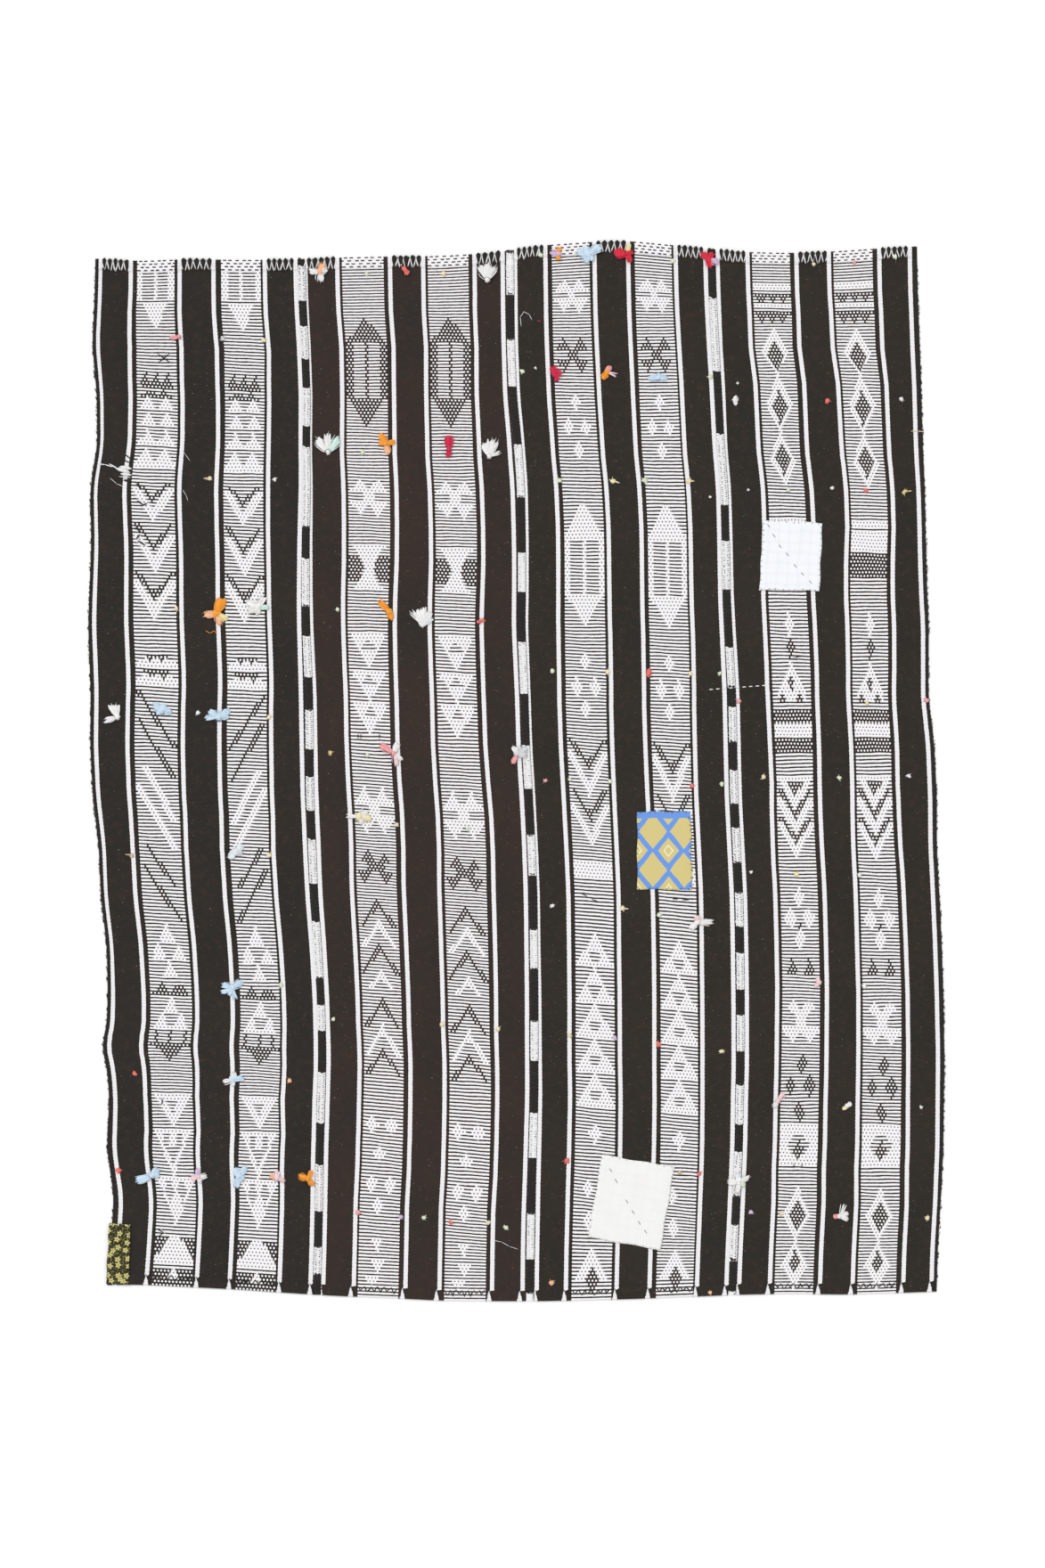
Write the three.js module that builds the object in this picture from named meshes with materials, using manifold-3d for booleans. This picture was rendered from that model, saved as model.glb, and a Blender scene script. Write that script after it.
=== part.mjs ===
// A flat-woven kilim of four narrow warp-faced strips, joined side by side, mended and tufted.
// Units are millimetres. +X is across the strips, +Y runs along them, +Z is up off the floor.
// The origin is the middle of the cloth on its underside.

import * as THREE from 'three';
import { mergeVertices } from 'three/addons/utils/BufferGeometryUtils.js';
import Module from 'manifold-3d';

const wasm = await Module();
wasm.setup();

// Driving dimensions
const CLOTH = 2.4; // thickness of the woven strips
const HEM = 4.6; // thickness of the folded hem, two layers
const HEM_DEPTH = 21; // how far a hem is folded back
const HEM_STEP = 2; // length of the slope from the hem down to the single cloth
const SEAM_WIDTH = 15; // needle-worked join between two strips
const SEAM_CROWN = 4.4; // height of the join along its middle
const SEAM_SIDE = 3; // height of the join at its sides
const EDGE_WIDTH = 6; // overcast long side
const EDGE_HEIGHT = 3.6;
const GAP = 0.3; // clearance between neighbouring pieces
const PATCH = 1.2; // thickness of a mending patch
const KNOT_HEIGHT = 7; // height of a tuft's knot
const LOCK_HEIGHT = 5; // height of a tuft's lock where it leaves the knot
const LOCK_TIP = 0.35; // width and height left at the tip of a lock, as a share of its root
const LOCK_BELLY = 1.15; // width of a lock past its middle, as a share of its stated width
const LOCK_LEAN = 0.25; // how much narrower a lock is on top than where it lies

// Course of the two long sides and of the three joins, at rows down the cloth
const LONG_LINES = [
  { y: 1056, left: -838, seam1: -429, seam2: -13, seam3: 388, right: 798 },
  { y: 950, left: -840, seam1: -427, seam2: -12, seam3: 391, right: 800 },
  { y: 850, left: -845, seam1: -422, seam2: -11, seam3: 396, right: 804 },
  { y: 750, left: -836, seam1: -418, seam2: -7, seam3: 402, right: 807 },
  { y: 650, left: -835, seam1: -419, seam2: 3, seam3: 407, right: 810 },
  { y: 565, left: -849, seam1: -418, seam2: 9, seam3: 414, right: 814 },
  { y: 450, left: -847, seam1: -420, seam2: 11, seam3: 417, right: 816 },
  { y: 350, left: -851, seam1: -420, seam2: 11, seam3: 419, right: 819 },
  { y: 290, left: -853, seam1: -419, seam2: 10, seam3: 422, right: 822 },
  { y: 150, left: -848, seam1: -413, seam2: 16, seam3: 430, right: 821 },
  { y: 50, left: -849, seam1: -412, seam2: 19, seam3: 432, right: 833 },
  { y: -50, left: -844, seam1: -411, seam2: 25, seam3: 434, right: 838 },
  { y: -150, left: -832, seam1: -407, seam2: 30, seam3: 439, right: 838 },
  { y: -250, left: -828, seam1: -403, seam2: 34, seam3: 444, right: 843 },
  { y: -350, left: -816, seam1: -396, seam2: 35, seam3: 446, right: 848 },
  { y: -450, left: -814, seam1: -390, seam2: 36, seam3: 447, right: 851 },
  { y: -515, left: -817, seam1: -388, seam2: 36, seam3: 447, right: 852 },
  { y: -545, left: -827, seam1: -387, seam2: 36, seam3: 447, right: 853 },
  { y: -590, left: -816, seam1: -387, seam2: 36, seam3: 447, right: 853 },
  { y: -650, left: -811, seam1: -389, seam2: 36, seam3: 445, right: 852 },
  { y: -750, left: -816, seam1: -392, seam2: 33, seam3: 443, right: 851 },
  { y: -850, left: -802, seam1: -393, seam2: 30, seam3: 438, right: 846 },
  { y: -950, left: -809, seam1: -395, seam2: 28, seam3: 433, right: 840 },
  { y: -1056, left: -818, seam1: -398, seam2: 27, seam3: 429, right: 837 },
];

// Course of the two hemmed ends, at columns across the cloth
const ENDS = [
  { x: -860, top: 1022, bottom: -1025 },
  { x: -750, top: 1016, bottom: -1023 },
  { x: -650, top: 1020, bottom: -1028 },
  { x: -550, top: 1018, bottom: -1033 },
  { x: -450, top: 1019, bottom: -1040 },
  { x: -350, top: 1023, bottom: -1046 },
  { x: -250, top: 1025, bottom: -1050 },
  { x: -150, top: 1026, bottom: -1055 },
  { x: -50, top: 1032, bottom: -1056 },
  { x: 50, top: 1047, bottom: -1056 },
  { x: 150, top: 1054, bottom: -1054 },
  { x: 225, top: 1056, bottom: -1052 },
  { x: 350, top: 1044, bottom: -1047 },
  { x: 450, top: 1034, bottom: -1043 },
  { x: 550, top: 1032, bottom: -1041 },
  { x: 650, top: 1036, bottom: -1043 },
  { x: 750, top: 1043, bottom: -1040 },
  { x: 860, top: 1048, bottom: -1036 },
];

// Mending patches: corners from the upper left one, clockwise, and the height they lie at
const PATCHES = [
  { name: 'patch_white', lies: CLOTH, colour: '#f1f3f6',
    corners: [[493, 500], [610, 494], [604, 359], [484, 361]] },
  { name: 'patch_print', lies: CLOTH, colour: '#c9b97c',
    corners: [[241, -81], [347, -81], [350, -237], [241, -235]] },
  { name: 'patch_grey', lies: CLOTH, colour: '#eceae8',
    corners: [[171, -764], [315, -789], [287, -954], [143, -929]] },
  { name: 'patch_floral', lies: HEM, colour: '#4a473c',
    corners: [[-811, -901], [-768, -903], [-772, -1022], [-817, -1022]] },
];

// Yarn colours of the tufts
const YARN = {
  white: '#f3f1ee',
  pink: '#f0c9cd',
  coral: '#f07a74',
  orange: '#f7a32f',
  red: '#dc2440',
  blue: '#cbe2f4',
  cream: '#f2e4bd',
};

// Tufts: place and radius of the knot, what it lies on, and its locks as [turn, reach, width]
// with the turn in degrees from +X towards +Y
const TUFTS = [
  { x: -391, y: 994, knot: 11, lies: HEM, yarn: 'white',
    locks: [[65, 22, 15], [175, 24, 11], [275, 22, 15], [12, 17, 14]] },
  { x: -221, y: 997, knot: 8, lies: HEM, yarn: 'coral',
    locks: [[120, 10, 11], [295, 11, 11]] },
  { x: -58, y: 978, knot: 8, lies: HEM, yarn: 'white',
    locks: [[116, 36, 12], [91, 38, 12], [64, 37, 12]] },
  { x: 84, y: 1030, knot: 9, lies: HEM, yarn: 'orange',
    locks: [[172, 19, 14], [78, 16, 9], [255, 14, 12]] },
  { x: 143, y: 1030, knot: 14, lies: HEM, yarn: 'blue',
    locks: [[172, 26, 13], [112, 19, 14], [28, 33, 14], [250, 20, 15], [305, 18, 14]] },
  { x: 222, y: 1031, knot: 9, lies: HEM, yarn: 'red',
    locks: [[180, 30, 17], [82, 22, 9], [285, 20, 12], [10, 12, 9]] },
  { x: 383, y: 1018, knot: 11, lies: HEM, yarn: 'red',
    locks: [[132, 23, 14], [62, 18, 12], [285, 19, 14], [345, 24, 13]] },
  { x: -672, y: 865, knot: 7, lies: CLOTH, yarn: 'coral',
    locks: [[184, 20, 8]] },
  { x: 80, y: 780, knot: 8, lies: CLOTH, yarn: 'red',
    locks: [[104, 34, 9], [62, 24, 8]] },
  { x: 180, y: 794, knot: 10, lies: CLOTH, yarn: 'orange',
    locks: [[62, 18, 11], [235, 18, 12], [343, 24, 4]] },
  { x: 283, y: 783, knot: 9, lies: CLOTH, yarn: 'blue',
    locks: [[182, 22, 13], [358, 22, 12], [85, 11, 12]] },
  { x: 436, y: 739, knot: 9, lies: CLOTH, yarn: 'white',
    locks: [[280, 12, 9], [80, 10, 10]] },
  { x: -375, y: 635, knot: 8, lies: CLOTH, yarn: 'white',
    locks: [[128, 40, 15], [92, 42, 11], [53, 41, 14]] },
  { x: -260, y: 652, knot: 10, lies: CLOTH, yarn: 'orange',
    locks: [[118, 26, 15], [165, 16, 13], [12, 21, 10], [285, 24, 12]] },
  { x: -134, y: 640, knot: 9, lies: CLOTH, yarn: 'red',
    locks: [[92, 32, 17], [265, 17, 11]] },
  { x: -54, y: 627, knot: 8, lies: CLOTH, yarn: 'white',
    locks: [[112, 32, 12], [86, 37, 12], [64, 39, 10], [22, 26, 4]] },
  { x: -598, y: 314, knot: 14, lies: CLOTH, yarn: 'orange',
    locks: [[66, 38, 20], [190, 27, 16], [288, 28, 13], [330, 28, 10]] },
  { x: -514, y: 327, knot: 12, lies: CLOTH, yarn: 'white',
    locks: [[152, 27, 12], [205, 26, 12], [262, 18, 12], [62, 26, 11], [358, 24, 11]] },
  { x: -253, y: 317, knot: 11, lies: CLOTH, yarn: 'orange',
    locks: [[134, 34, 11], [290, 19, 13]] },
  { x: -187, y: 292, knot: 10, lies: CLOTH, yarn: 'white',
    locks: [[134, 40, 4], [112, 36, 13], [86, 38, 13], [58, 34, 12], [32, 29, 11]] },
  { x: -75, y: 297, knot: 6, lies: CLOTH, yarn: 'coral',
    locks: [[18, 15, 6]] },
  { x: -795, y: 108, knot: 9, lies: CLOTH, yarn: 'white',
    locks: [[118, 31, 12], [86, 29, 10], [196, 30, 9]] },
  { x: -706, y: 122, knot: 14, lies: CLOTH, yarn: 'blue',
    locks: [[150, 24, 14], [215, 14, 12], [345, 22, 15], [60, 15, 12]] },
  { x: -592, y: 108, knot: 13, lies: CLOTH, yarn: 'blue',
    locks: [[150, 25, 15], [184, 32, 8], [38, 27, 15], [5, 23, 12]] },
  { x: -244, y: 35, knot: 9, lies: CLOTH, yarn: 'pink',
    locks: [[148, 35, 11], [72, 26, 10], [285, 30, 9], [325, 24, 8]] },
  { x: 1, y: 35, knot: 10, lies: SEAM_CROWN, yarn: 'pink',
    locks: [[118, 19, 10], [250, 24, 10], [28, 26, 13], [345, 24, 11]] },
  { x: -313, y: -91, knot: 13, lies: CLOTH, yarn: 'white',
    locks: [[178, 28, 7], [35, 24, 15], [350, 26, 15], [290, 17, 12]] },
  { x: -560, y: -162, knot: 12, lies: CLOTH, yarn: 'white',
    locks: [[42, 23, 15], [222, 20, 15], [355, 17, 12]] },
  { x: -565, y: -432, knot: 11, lies: CLOTH, yarn: 'blue',
    locks: [[158, 25, 10], [205, 27, 8], [38, 26, 13], [282, 27, 7], [245, 19, 8]] },
  { x: 361, y: -302, knot: 9, lies: CLOTH, yarn: 'pink',
    locks: [[215, 23, 13], [95, 16, 11], [2, 36, 10]] },
  { x: 603, y: -422, knot: 8, lies: CLOTH, yarn: 'pink',
    locks: [[105, 13, 8], [225, 13, 9]] },
  { x: -566, y: -615, knot: 11, lies: CLOTH, yarn: 'white',
    locks: [[192, 22, 11], [68, 17, 14], [8, 27, 12], [280, 14, 11]] },
  { x: 521, y: -658, knot: 7, lies: CLOTH, yarn: 'pink',
    locks: [[56, 24, 8], [232, 17, 8]] },
  { x: 659, y: -667, knot: 7, lies: CLOTH, yarn: 'cream',
    locks: [[42, 12, 9], [222, 12, 9]] },
  { x: -726, y: -806, knot: 10, lies: CLOTH, yarn: 'blue',
    locks: [[200, 36, 13], [52, 23, 13], [8, 18, 11]] },
  { x: -633, y: -809, knot: 9, lies: CLOTH, yarn: 'pink',
    locks: [[98, 19, 9], [5, 20, 10], [182, 17, 12], [285, 14, 10]] },
  { x: -553, y: -806, knot: 13, lies: CLOTH, yarn: 'blue',
    locks: [[48, 26, 14], [112, 19, 13], [258, 28, 12], [320, 17, 12]] },
  { x: -477, y: -810, knot: 10, lies: CLOTH, yarn: 'pink',
    locks: [[165, 16, 10], [338, 20, 9], [88, 15, 12]] },
  { x: -415, y: -812, knot: 9, lies: CLOTH, yarn: 'orange',
    locks: [[160, 23, 13], [60, 20, 8], [308, 20, 11]] },
  { x: 443, y: -817, knot: 13, lies: SEAM_CROWN, yarn: 'white',
    locks: [[188, 24, 11], [22, 27, 9], [100, 17, 13], [262, 27, 12], [322, 18, 11]] },
  { x: 644, y: -887, knot: 9, lies: CLOTH, yarn: 'pink',
    locks: [[178, 15, 9], [18, 20, 9], [338, 20, 9], [68, 28, 3]] },
  { x: 264, y: 196, knot: 8, lies: CLOTH, yarn: 'coral',
    locks: [[80, 10, 9], [262, 10, 9]] },
];

const COLOURS = { strip: '#3a3632', seam: '#8d8a87', edge: '#2b2826' };

/** Value of one column of a table at a place between its rows, on straight lines. */
function readTable(table, key, column, at) {
  const rising = table[0][key] < table[table.length - 1][key];
  const rows = rising ? table : [...table].reverse();
  const next = Math.max(1, rows.findIndex((row) => row[key] >= at));
  const [a, b] = [rows[next - 1], rows[next]];
  const share = THREE.MathUtils.clamp((at - a[key]) / (b[key] - a[key]), 0, 1);
  return THREE.MathUtils.lerp(a[column], b[column], share);
}

const lineAt = (line, y) => readTable(LONG_LINES, 'y', line, y);
const endAt = (end, x) => readTable(ENDS, 'x', end, x);

/** A closed box of columns by rows whose points are moved by place(u, v, w), each from 0 to 1. */
function movedBox(columns, rows, place) {
  const box = new THREE.BoxGeometry(1, 1, 1, columns, rows, 1);
  box.deleteAttribute('normal');
  box.deleteAttribute('uv');
  const geometry = mergeVertices(box);
  const points = geometry.getAttribute('position');
  for (let i = 0; i < points.count; i += 1) {
    const spot = place(points.getX(i) + 0.5, points.getY(i) + 0.5, points.getZ(i) + 0.5);
    points.setXYZ(i, spot.x, spot.y, spot.z);
  }
  geometry.computeVertexNormals();
  return geometry;
}

function namedMesh(name, geometry, colour) {
  const material = new THREE.MeshStandardMaterial({ color: colour, roughness: 0.95, metalness: 0 });
  const mesh = new THREE.Mesh(geometry, material);
  mesh.name = name;
  return mesh;
}

// Rows that every long piece is built on: the hem folds at both ends and the table's rows between
const END_OFFSETS = [0, HEM_DEPTH, HEM_DEPTH + HEM_STEP];
const INNER_ROWS = LONG_LINES.slice(1, -1).map((row) => row.y).reverse();
const ROW_COUNT = 2 * END_OFFSETS.length + INNER_ROWS.length - 1;

/** Height along the cloth of a row, given the column's place across it. */
function rowY(row, xAt) {
  const fromTop = ROW_COUNT - row;
  if (row < END_OFFSETS.length) {
    return endAt('bottom', xAt(LONG_LINES[LONG_LINES.length - 1].y)) + END_OFFSETS[row];
  }
  if (fromTop < END_OFFSETS.length) {
    return endAt('top', xAt(LONG_LINES[0].y)) - END_OFFSETS[fromTop];
  }
  return INNER_ROWS[row - END_OFFSETS.length];
}

function isHem(row) {
  return Math.min(row, ROW_COUNT - row) < 2;
}

/** A woven strip between two long lines, thicker where its ends are folded over. */
function woven(leftLine, leftInset, rightLine, rightInset) {
  const columns = 4;
  return movedBox(columns, ROW_COUNT, (u, v, w) => {
    const row = Math.round(v * ROW_COUNT);
    const xAt = (y) => THREE.MathUtils.lerp(
      lineAt(leftLine, y) + leftInset,
      lineAt(rightLine, y) - rightInset,
      u,
    );
    const y = rowY(row, xAt);
    return new THREE.Vector3(xAt(y), y, w * (isHem(row) ? HEM : CLOTH));
  });
}

/** A bar along one long line, from one offset to another, with a crown along its middle. */
function bar(line, from, to, side, crown) {
  const columns = 2;
  return movedBox(columns, ROW_COUNT, (u, v, w) => {
    const row = Math.round(v * ROW_COUNT);
    const xAt = (y) => lineAt(line, y) + THREE.MathUtils.lerp(from, to, u);
    const y = rowY(row, xAt);
    const height = u === 0.5 ? crown : side;
    return new THREE.Vector3(xAt(y), y, w * height);
  });
}

/** A thin cut piece between four corners, lying on what is under it. */
function patch({ corners, lies }) {
  const [upperLeft, upperRight, lowerRight, lowerLeft] = corners.map(([x, y]) => new THREE.Vector2(x, y));
  const segments = 3;
  return movedBox(segments, segments, (u, v, w) => {
    const low = lowerLeft.clone().lerp(lowerRight, u);
    const high = upperLeft.clone().lerp(upperRight, u);
    const spot = low.lerp(high, v);
    return new THREE.Vector3(spot.x, spot.y, lies + GAP + w * PATCH);
  });
}

/** A lock of yarn: a flat-bottomed tapering box that leaves the knot along +X, then is turned. */
function lock([turn, reach, width]) {
  const sections = [
    { along: 0, size: 0.8 },
    { along: 0.6, size: LOCK_BELLY },
    { along: 1, size: LOCK_TIP },
  ];
  const last = sections.length - 1;
  const geometry = movedBox(last, 1, (u, v, w) => {
    const { along, size } = sections[Math.round(u * last)];
    const height = LOCK_HEIGHT * THREE.MathUtils.lerp(1, LOCK_TIP, along);
    const across = (v - 0.5) * width * size * (1 - w * LOCK_LEAN);
    return new THREE.Vector3(along * reach, across, w * height);
  });
  return geometry.rotateZ(THREE.MathUtils.degToRad(turn));
}

/** The knot of a tuft: a low dome with a flat base. */
function knotDome(radius) {
  const profile = [[0, 0], [1, 0], [0.85, 0.65], [0, 1]];
  const sides = 8;
  return new THREE.LatheGeometry(
    profile.map(([r, z]) => new THREE.Vector2(r * radius, z * KNOT_HEIGHT)),
    sides,
  ).rotateX(Math.PI / 2);
}

/** The solid of a closed geometry, with its shared points merged and its empty faces dropped. */
function solidOf(geometry) {
  const bare = geometry.clone();
  bare.deleteAttribute('normal');
  bare.deleteAttribute('uv');
  const merged = mergeVertices(bare);
  const faces = [];
  const index = merged.index.array;
  for (let i = 0; i < index.length; i += 3) {
    const [a, b, c] = [index[i], index[i + 1], index[i + 2]];
    if (a !== b && b !== c && c !== a) faces.push(a, b, c);
  }
  return new wasm.Manifold(new wasm.Mesh({
    numProp: 3,
    vertProperties: new Float32Array(merged.getAttribute('position').array),
    triVerts: new Uint32Array(faces),
  }));
}

/** A tuft: its locks fused at their roots into the knot. */
function tuft({ x, y, knot, lies, locks }) {
  const whole = locks.reduce((solid, row) => solid.add(solidOf(lock(row))), solidOf(knotDome(knot)));
  const { vertProperties, triVerts } = whole.getMesh();
  const geometry = new THREE.BufferGeometry();
  geometry.setAttribute('position', new THREE.BufferAttribute(vertProperties, 3));
  geometry.setIndex(new THREE.BufferAttribute(triVerts, 1));
  geometry.computeVertexNormals();
  return geometry.translate(x, y, lies + GAP);
}

const kilim = new THREE.Group();
const half = SEAM_WIDTH / 2;
const lines = Object.keys(LONG_LINES[0]).filter((key) => key !== 'y');

for (let i = 1; i < lines.length; i += 1) {
  const leftInset = (i === 1 ? EDGE_WIDTH : half) + GAP;
  const rightInset = (i === lines.length - 1 ? EDGE_WIDTH : half) + GAP;
  kilim.add(namedMesh(`panel_${i}`, woven(lines[i - 1], leftInset, lines[i], rightInset), COLOURS.strip));
}

for (const [i, line] of lines.slice(1, -1).entries()) {
  kilim.add(namedMesh(`seam_${i + 1}`, bar(line, -half, half, SEAM_SIDE, SEAM_CROWN), COLOURS.seam));
}

kilim.add(namedMesh('edge_left', bar('left', 0, EDGE_WIDTH, EDGE_HEIGHT / 2, EDGE_HEIGHT), COLOURS.edge));
kilim.add(namedMesh('edge_right', bar('right', -EDGE_WIDTH, 0, EDGE_HEIGHT / 2, EDGE_HEIGHT), COLOURS.edge));

for (const row of PATCHES) {
  kilim.add(namedMesh(row.name, patch(row), row.colour));
}

for (const [i, row] of TUFTS.entries()) {
  const name = `tuft_${String(i + 1).padStart(2, '0')}`;
  kilim.add(namedMesh(name, tuft(row), YARN[row.yarn]));
}

export default kilim;
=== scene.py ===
"""A flat-woven kilim of four narrow strips joined side by side, mended and tufted.

Everything is in metres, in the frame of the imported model: +X across the strips, +Y along them,
+Z up off the floor, with the middle of the cloth's underside at the origin.
"""

import logging
import math
import random
from dataclasses import dataclass, field
from enum import Enum
from functools import partial
from itertools import accumulate
from typing import Callable, Iterable, NamedTuple, Sequence

import bmesh
import bpy
import numpy as np
from mathutils import Matrix, Vector


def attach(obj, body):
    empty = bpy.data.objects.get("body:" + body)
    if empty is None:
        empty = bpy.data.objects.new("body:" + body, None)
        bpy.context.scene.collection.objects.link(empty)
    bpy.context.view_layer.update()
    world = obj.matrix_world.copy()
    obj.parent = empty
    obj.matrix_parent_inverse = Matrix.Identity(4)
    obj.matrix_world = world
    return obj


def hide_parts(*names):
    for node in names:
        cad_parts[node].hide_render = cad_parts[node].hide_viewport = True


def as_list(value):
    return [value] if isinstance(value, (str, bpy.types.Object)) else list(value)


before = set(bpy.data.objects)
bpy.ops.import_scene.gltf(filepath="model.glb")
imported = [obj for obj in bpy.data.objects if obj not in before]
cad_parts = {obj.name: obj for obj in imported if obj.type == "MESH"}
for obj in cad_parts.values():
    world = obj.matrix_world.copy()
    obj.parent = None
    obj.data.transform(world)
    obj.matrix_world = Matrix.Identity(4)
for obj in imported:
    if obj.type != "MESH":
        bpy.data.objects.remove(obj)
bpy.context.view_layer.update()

logging.basicConfig(level=logging.INFO, format="%(name)s: %(message)s")
LOG = logging.getLogger("kilim")

Colour = tuple[float, float, float, float]
Point = tuple[float, float]
BODY = "root"

# Sizes of the cloth and its sewing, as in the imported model
CLOTH = 0.0024
HEM = 0.0046
HEM_DEPTH = 0.021
HEM_STEP = 0.002
SEAM_WIDTH = 0.015
SEAM_CROWN = 0.0044
SEAM_SIDE = 0.003
EDGE_WIDTH = 0.006
EDGE_HEIGHT = 0.0036
GAP = 0.0003
PATCH = 0.0012
KNOT_HEIGHT = 0.007

# The weave: one pair of picks is a thick white pick and a thin black one
THICK_SHARE = 0.58
CHART_COLUMNS = 22
STRIPE_HALF = 0.0042
WARP_END = 0.0013

# The photograph's scale, and the pixel at the middle of the cloth
PIXEL = 0.001775
MIDDLE_PX = 579.5
MIDDLE_PY = 865.5


def across(px: float) -> float:
    """X in metres of a column of the photograph."""
    return (px - MIDDLE_PX) * PIXEL


def along(py: float) -> float:
    """Y in metres of a row of the photograph."""
    return (MIDDLE_PY - py) * PIXEL


def photo_row(y: np.ndarray | float) -> np.ndarray | float:
    """Row of the photograph that a Y in metres falls on."""
    return MIDDLE_PY - y / PIXEL


def by_row(pairs: Sequence[tuple[float, float]], y: np.ndarray) -> np.ndarray:
    """Reads a course of values at heights along the cloth.

    Args:
        pairs: (row of the photograph, value in thousandths), the rows in order.
        y: Heights along the cloth.

    Returns:
        The values in ones, so millimetres become metres.
    """
    return np.interp(photo_row(y), [row for row, _ in pairs], [value / 1000 for _, value in pairs])


def linear(code: str) -> Colour:
    """Linear colour of an sRGB hex code.

    Args:
        code: Six hex digits after a hash sign.

    Returns:
        Red, green, blue and an alpha of one.
    """
    parts = [int(code[i:i + 2], 16) / 255 for i in (1, 3, 5)]
    red, green, blue = (c / 12.92 if c <= 0.04045 else ((c + 0.055) / 1.055) ** 2.4 for c in parts)
    return red, green, blue, 1.0


class LongRow(NamedTuple):
    """Place across of the two long sides and the three joins, in millimetres, at a height y."""

    y: float
    left: float
    seam1: float
    seam2: float
    seam3: float
    right: float


LONG_LINES = tuple(LongRow(*row) for row in (
    (1056, -838, -429, -13, 388, 798), (950, -840, -427, -12, 391, 800), (850, -845, -422, -11, 396, 804),
    (750, -836, -418, -7, 402, 807), (650, -835, -419, 3, 407, 810), (565, -849, -418, 9, 414, 814),
    (450, -847, -420, 11, 417, 816), (350, -851, -420, 11, 419, 819), (290, -853, -419, 10, 422, 822),
    (150, -848, -413, 16, 430, 821), (50, -849, -412, 19, 432, 833), (-50, -844, -411, 25, 434, 838),
    (-150, -832, -407, 30, 439, 838), (-250, -828, -403, 34, 444, 843), (-350, -816, -396, 35, 446, 848),
    (-450, -814, -390, 36, 447, 851), (-515, -817, -388, 36, 447, 852), (-545, -827, -387, 36, 447, 853),
    (-590, -816, -387, 36, 447, 853), (-650, -811, -389, 36, 445, 852), (-750, -816, -392, 33, 443, 851),
    (-850, -802, -393, 30, 438, 846), (-950, -809, -395, 28, 433, 840), (-1056, -818, -398, 27, 429, 837),
))


class EndRow(NamedTuple):
    """Place along of the two hemmed ends, in millimetres, at a place x across."""

    x: float
    top: float
    bottom: float


ENDS = tuple(EndRow(*row) for row in (
    (-860, 1022, -1025), (-750, 1016, -1023), (-650, 1020, -1028), (-550, 1018, -1033),
    (-450, 1019, -1040), (-350, 1023, -1046), (-250, 1025, -1050), (-150, 1026, -1055),
    (-50, 1032, -1056), (50, 1047, -1056), (150, 1054, -1054), (225, 1056, -1052),
    (350, 1044, -1047), (450, 1034, -1043), (550, 1032, -1041), (650, 1036, -1043),
    (750, 1043, -1040), (860, 1048, -1036),
))


class Outline:
    """Reads the courses of the long lines and of the ends."""

    SHIFTS = (-0.018, 0, 0.018)
    NEAR_FOOT, NEAR_TOP = -1.04, 1.03

    def __init__(self) -> None:
        """Turns both tables to metres."""
        self.lines, self.ends = (
            {key: np.array(column) / 1000 for key, column in zip(rows[0]._fields, zip(*rows))}
            for rows in (sorted(LONG_LINES), ENDS))

    def line(self, name: str, y: np.ndarray | float) -> np.ndarray:
        """Place across of a long line, its corners softened.

        Args:
            name: Field of LongRow.
            y: Heights along the cloth.

        Returns:
            X at each height.
        """
        return sum(np.interp(y + shift, self.lines["y"], self.lines[name]) for shift in self.SHIFTS) / 3

    def end(self, name: str, x: np.ndarray | float) -> np.ndarray:
        """Place along of a hemmed end, its corners softened.

        Args:
            name: Field of EndRow.
            x: Places across the cloth.

        Returns:
            Y at each place.
        """
        return sum(np.interp(x + shift, self.ends["x"], self.ends[name]) for shift in self.SHIFTS) / 3

    def run(self, name: str, beside: float = 0.0) -> tuple[float, float]:
        """Where a long line starts and stops.

        Args:
            name: Field of LongRow.
            beside: How far to the side of it the ends are read.

        Returns:
            Y of its foot and of its top.
        """
        foot = self.end("bottom", self.line(name, self.NEAR_FOOT) + beside)
        return foot, self.end("top", self.line(name, self.NEAR_TOP) + beside)


OUTLINE = Outline()


def smooth(value: np.ndarray) -> np.ndarray:
    """Soft step from 0 to 1 over the same range."""
    held = np.clip(value, 0, 1)
    return held * held * (3 - 2 * held)


# The chart of the pattern stripes


class Yarn(Enum):
    """What a place in a pattern stripe shows."""

    GROUND = 0
    WHITE = 1
    BLACK = 2


@dataclass(frozen=True)
class Figure:
    """A part of a motif between two rows: its sides run straight from head to foot.

    Rows are rows of the photograph, read at the left stripe of a strip. Places and widths are
    counted in chart columns from the stripe's middle.
    """

    yarn: Yarn
    top: float
    foot: float
    centre: float = 0.0
    head: float = 11.0
    base: float = 11.0
    foot_centre: float | None = None

    def columns(self, row: float, turn: int) -> tuple[float, float] | None:
        """Middle and half width at a row.

        Args:
            row: Row of the photograph.
            turn: 1, or -1 for a mirrored stripe.

        Returns:
            Both in columns, or None past the ends.
        """
        if not self.top <= row < self.foot:
            return None
        share = (row - self.top) / (self.foot - self.top)
        end = self.centre if self.foot_centre is None else self.foot_centre
        middle = self.centre + (end - self.centre) * share
        half = self.head + (self.base - self.head) * share
        return middle * turn, max(half, 0.5)


W, B, G = Yarn.WHITE, Yarn.BLACK, Yarn.GROUND


def bar(yarn: Yarn, top: float, foot: float, half: float = 11.0, centre: float = 0.0) -> list[Figure]:
    """A straight bar."""
    return [Figure(yarn, top, foot, centre, half, half)]


def rise(yarn: Yarn, top: float, foot: float, half: float, *centres: float) -> list[Figure]:
    """Triangles with the point up, at each centre."""
    return [Figure(yarn, top, foot, c, 0, half) for c in centres or (0,)]


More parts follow.
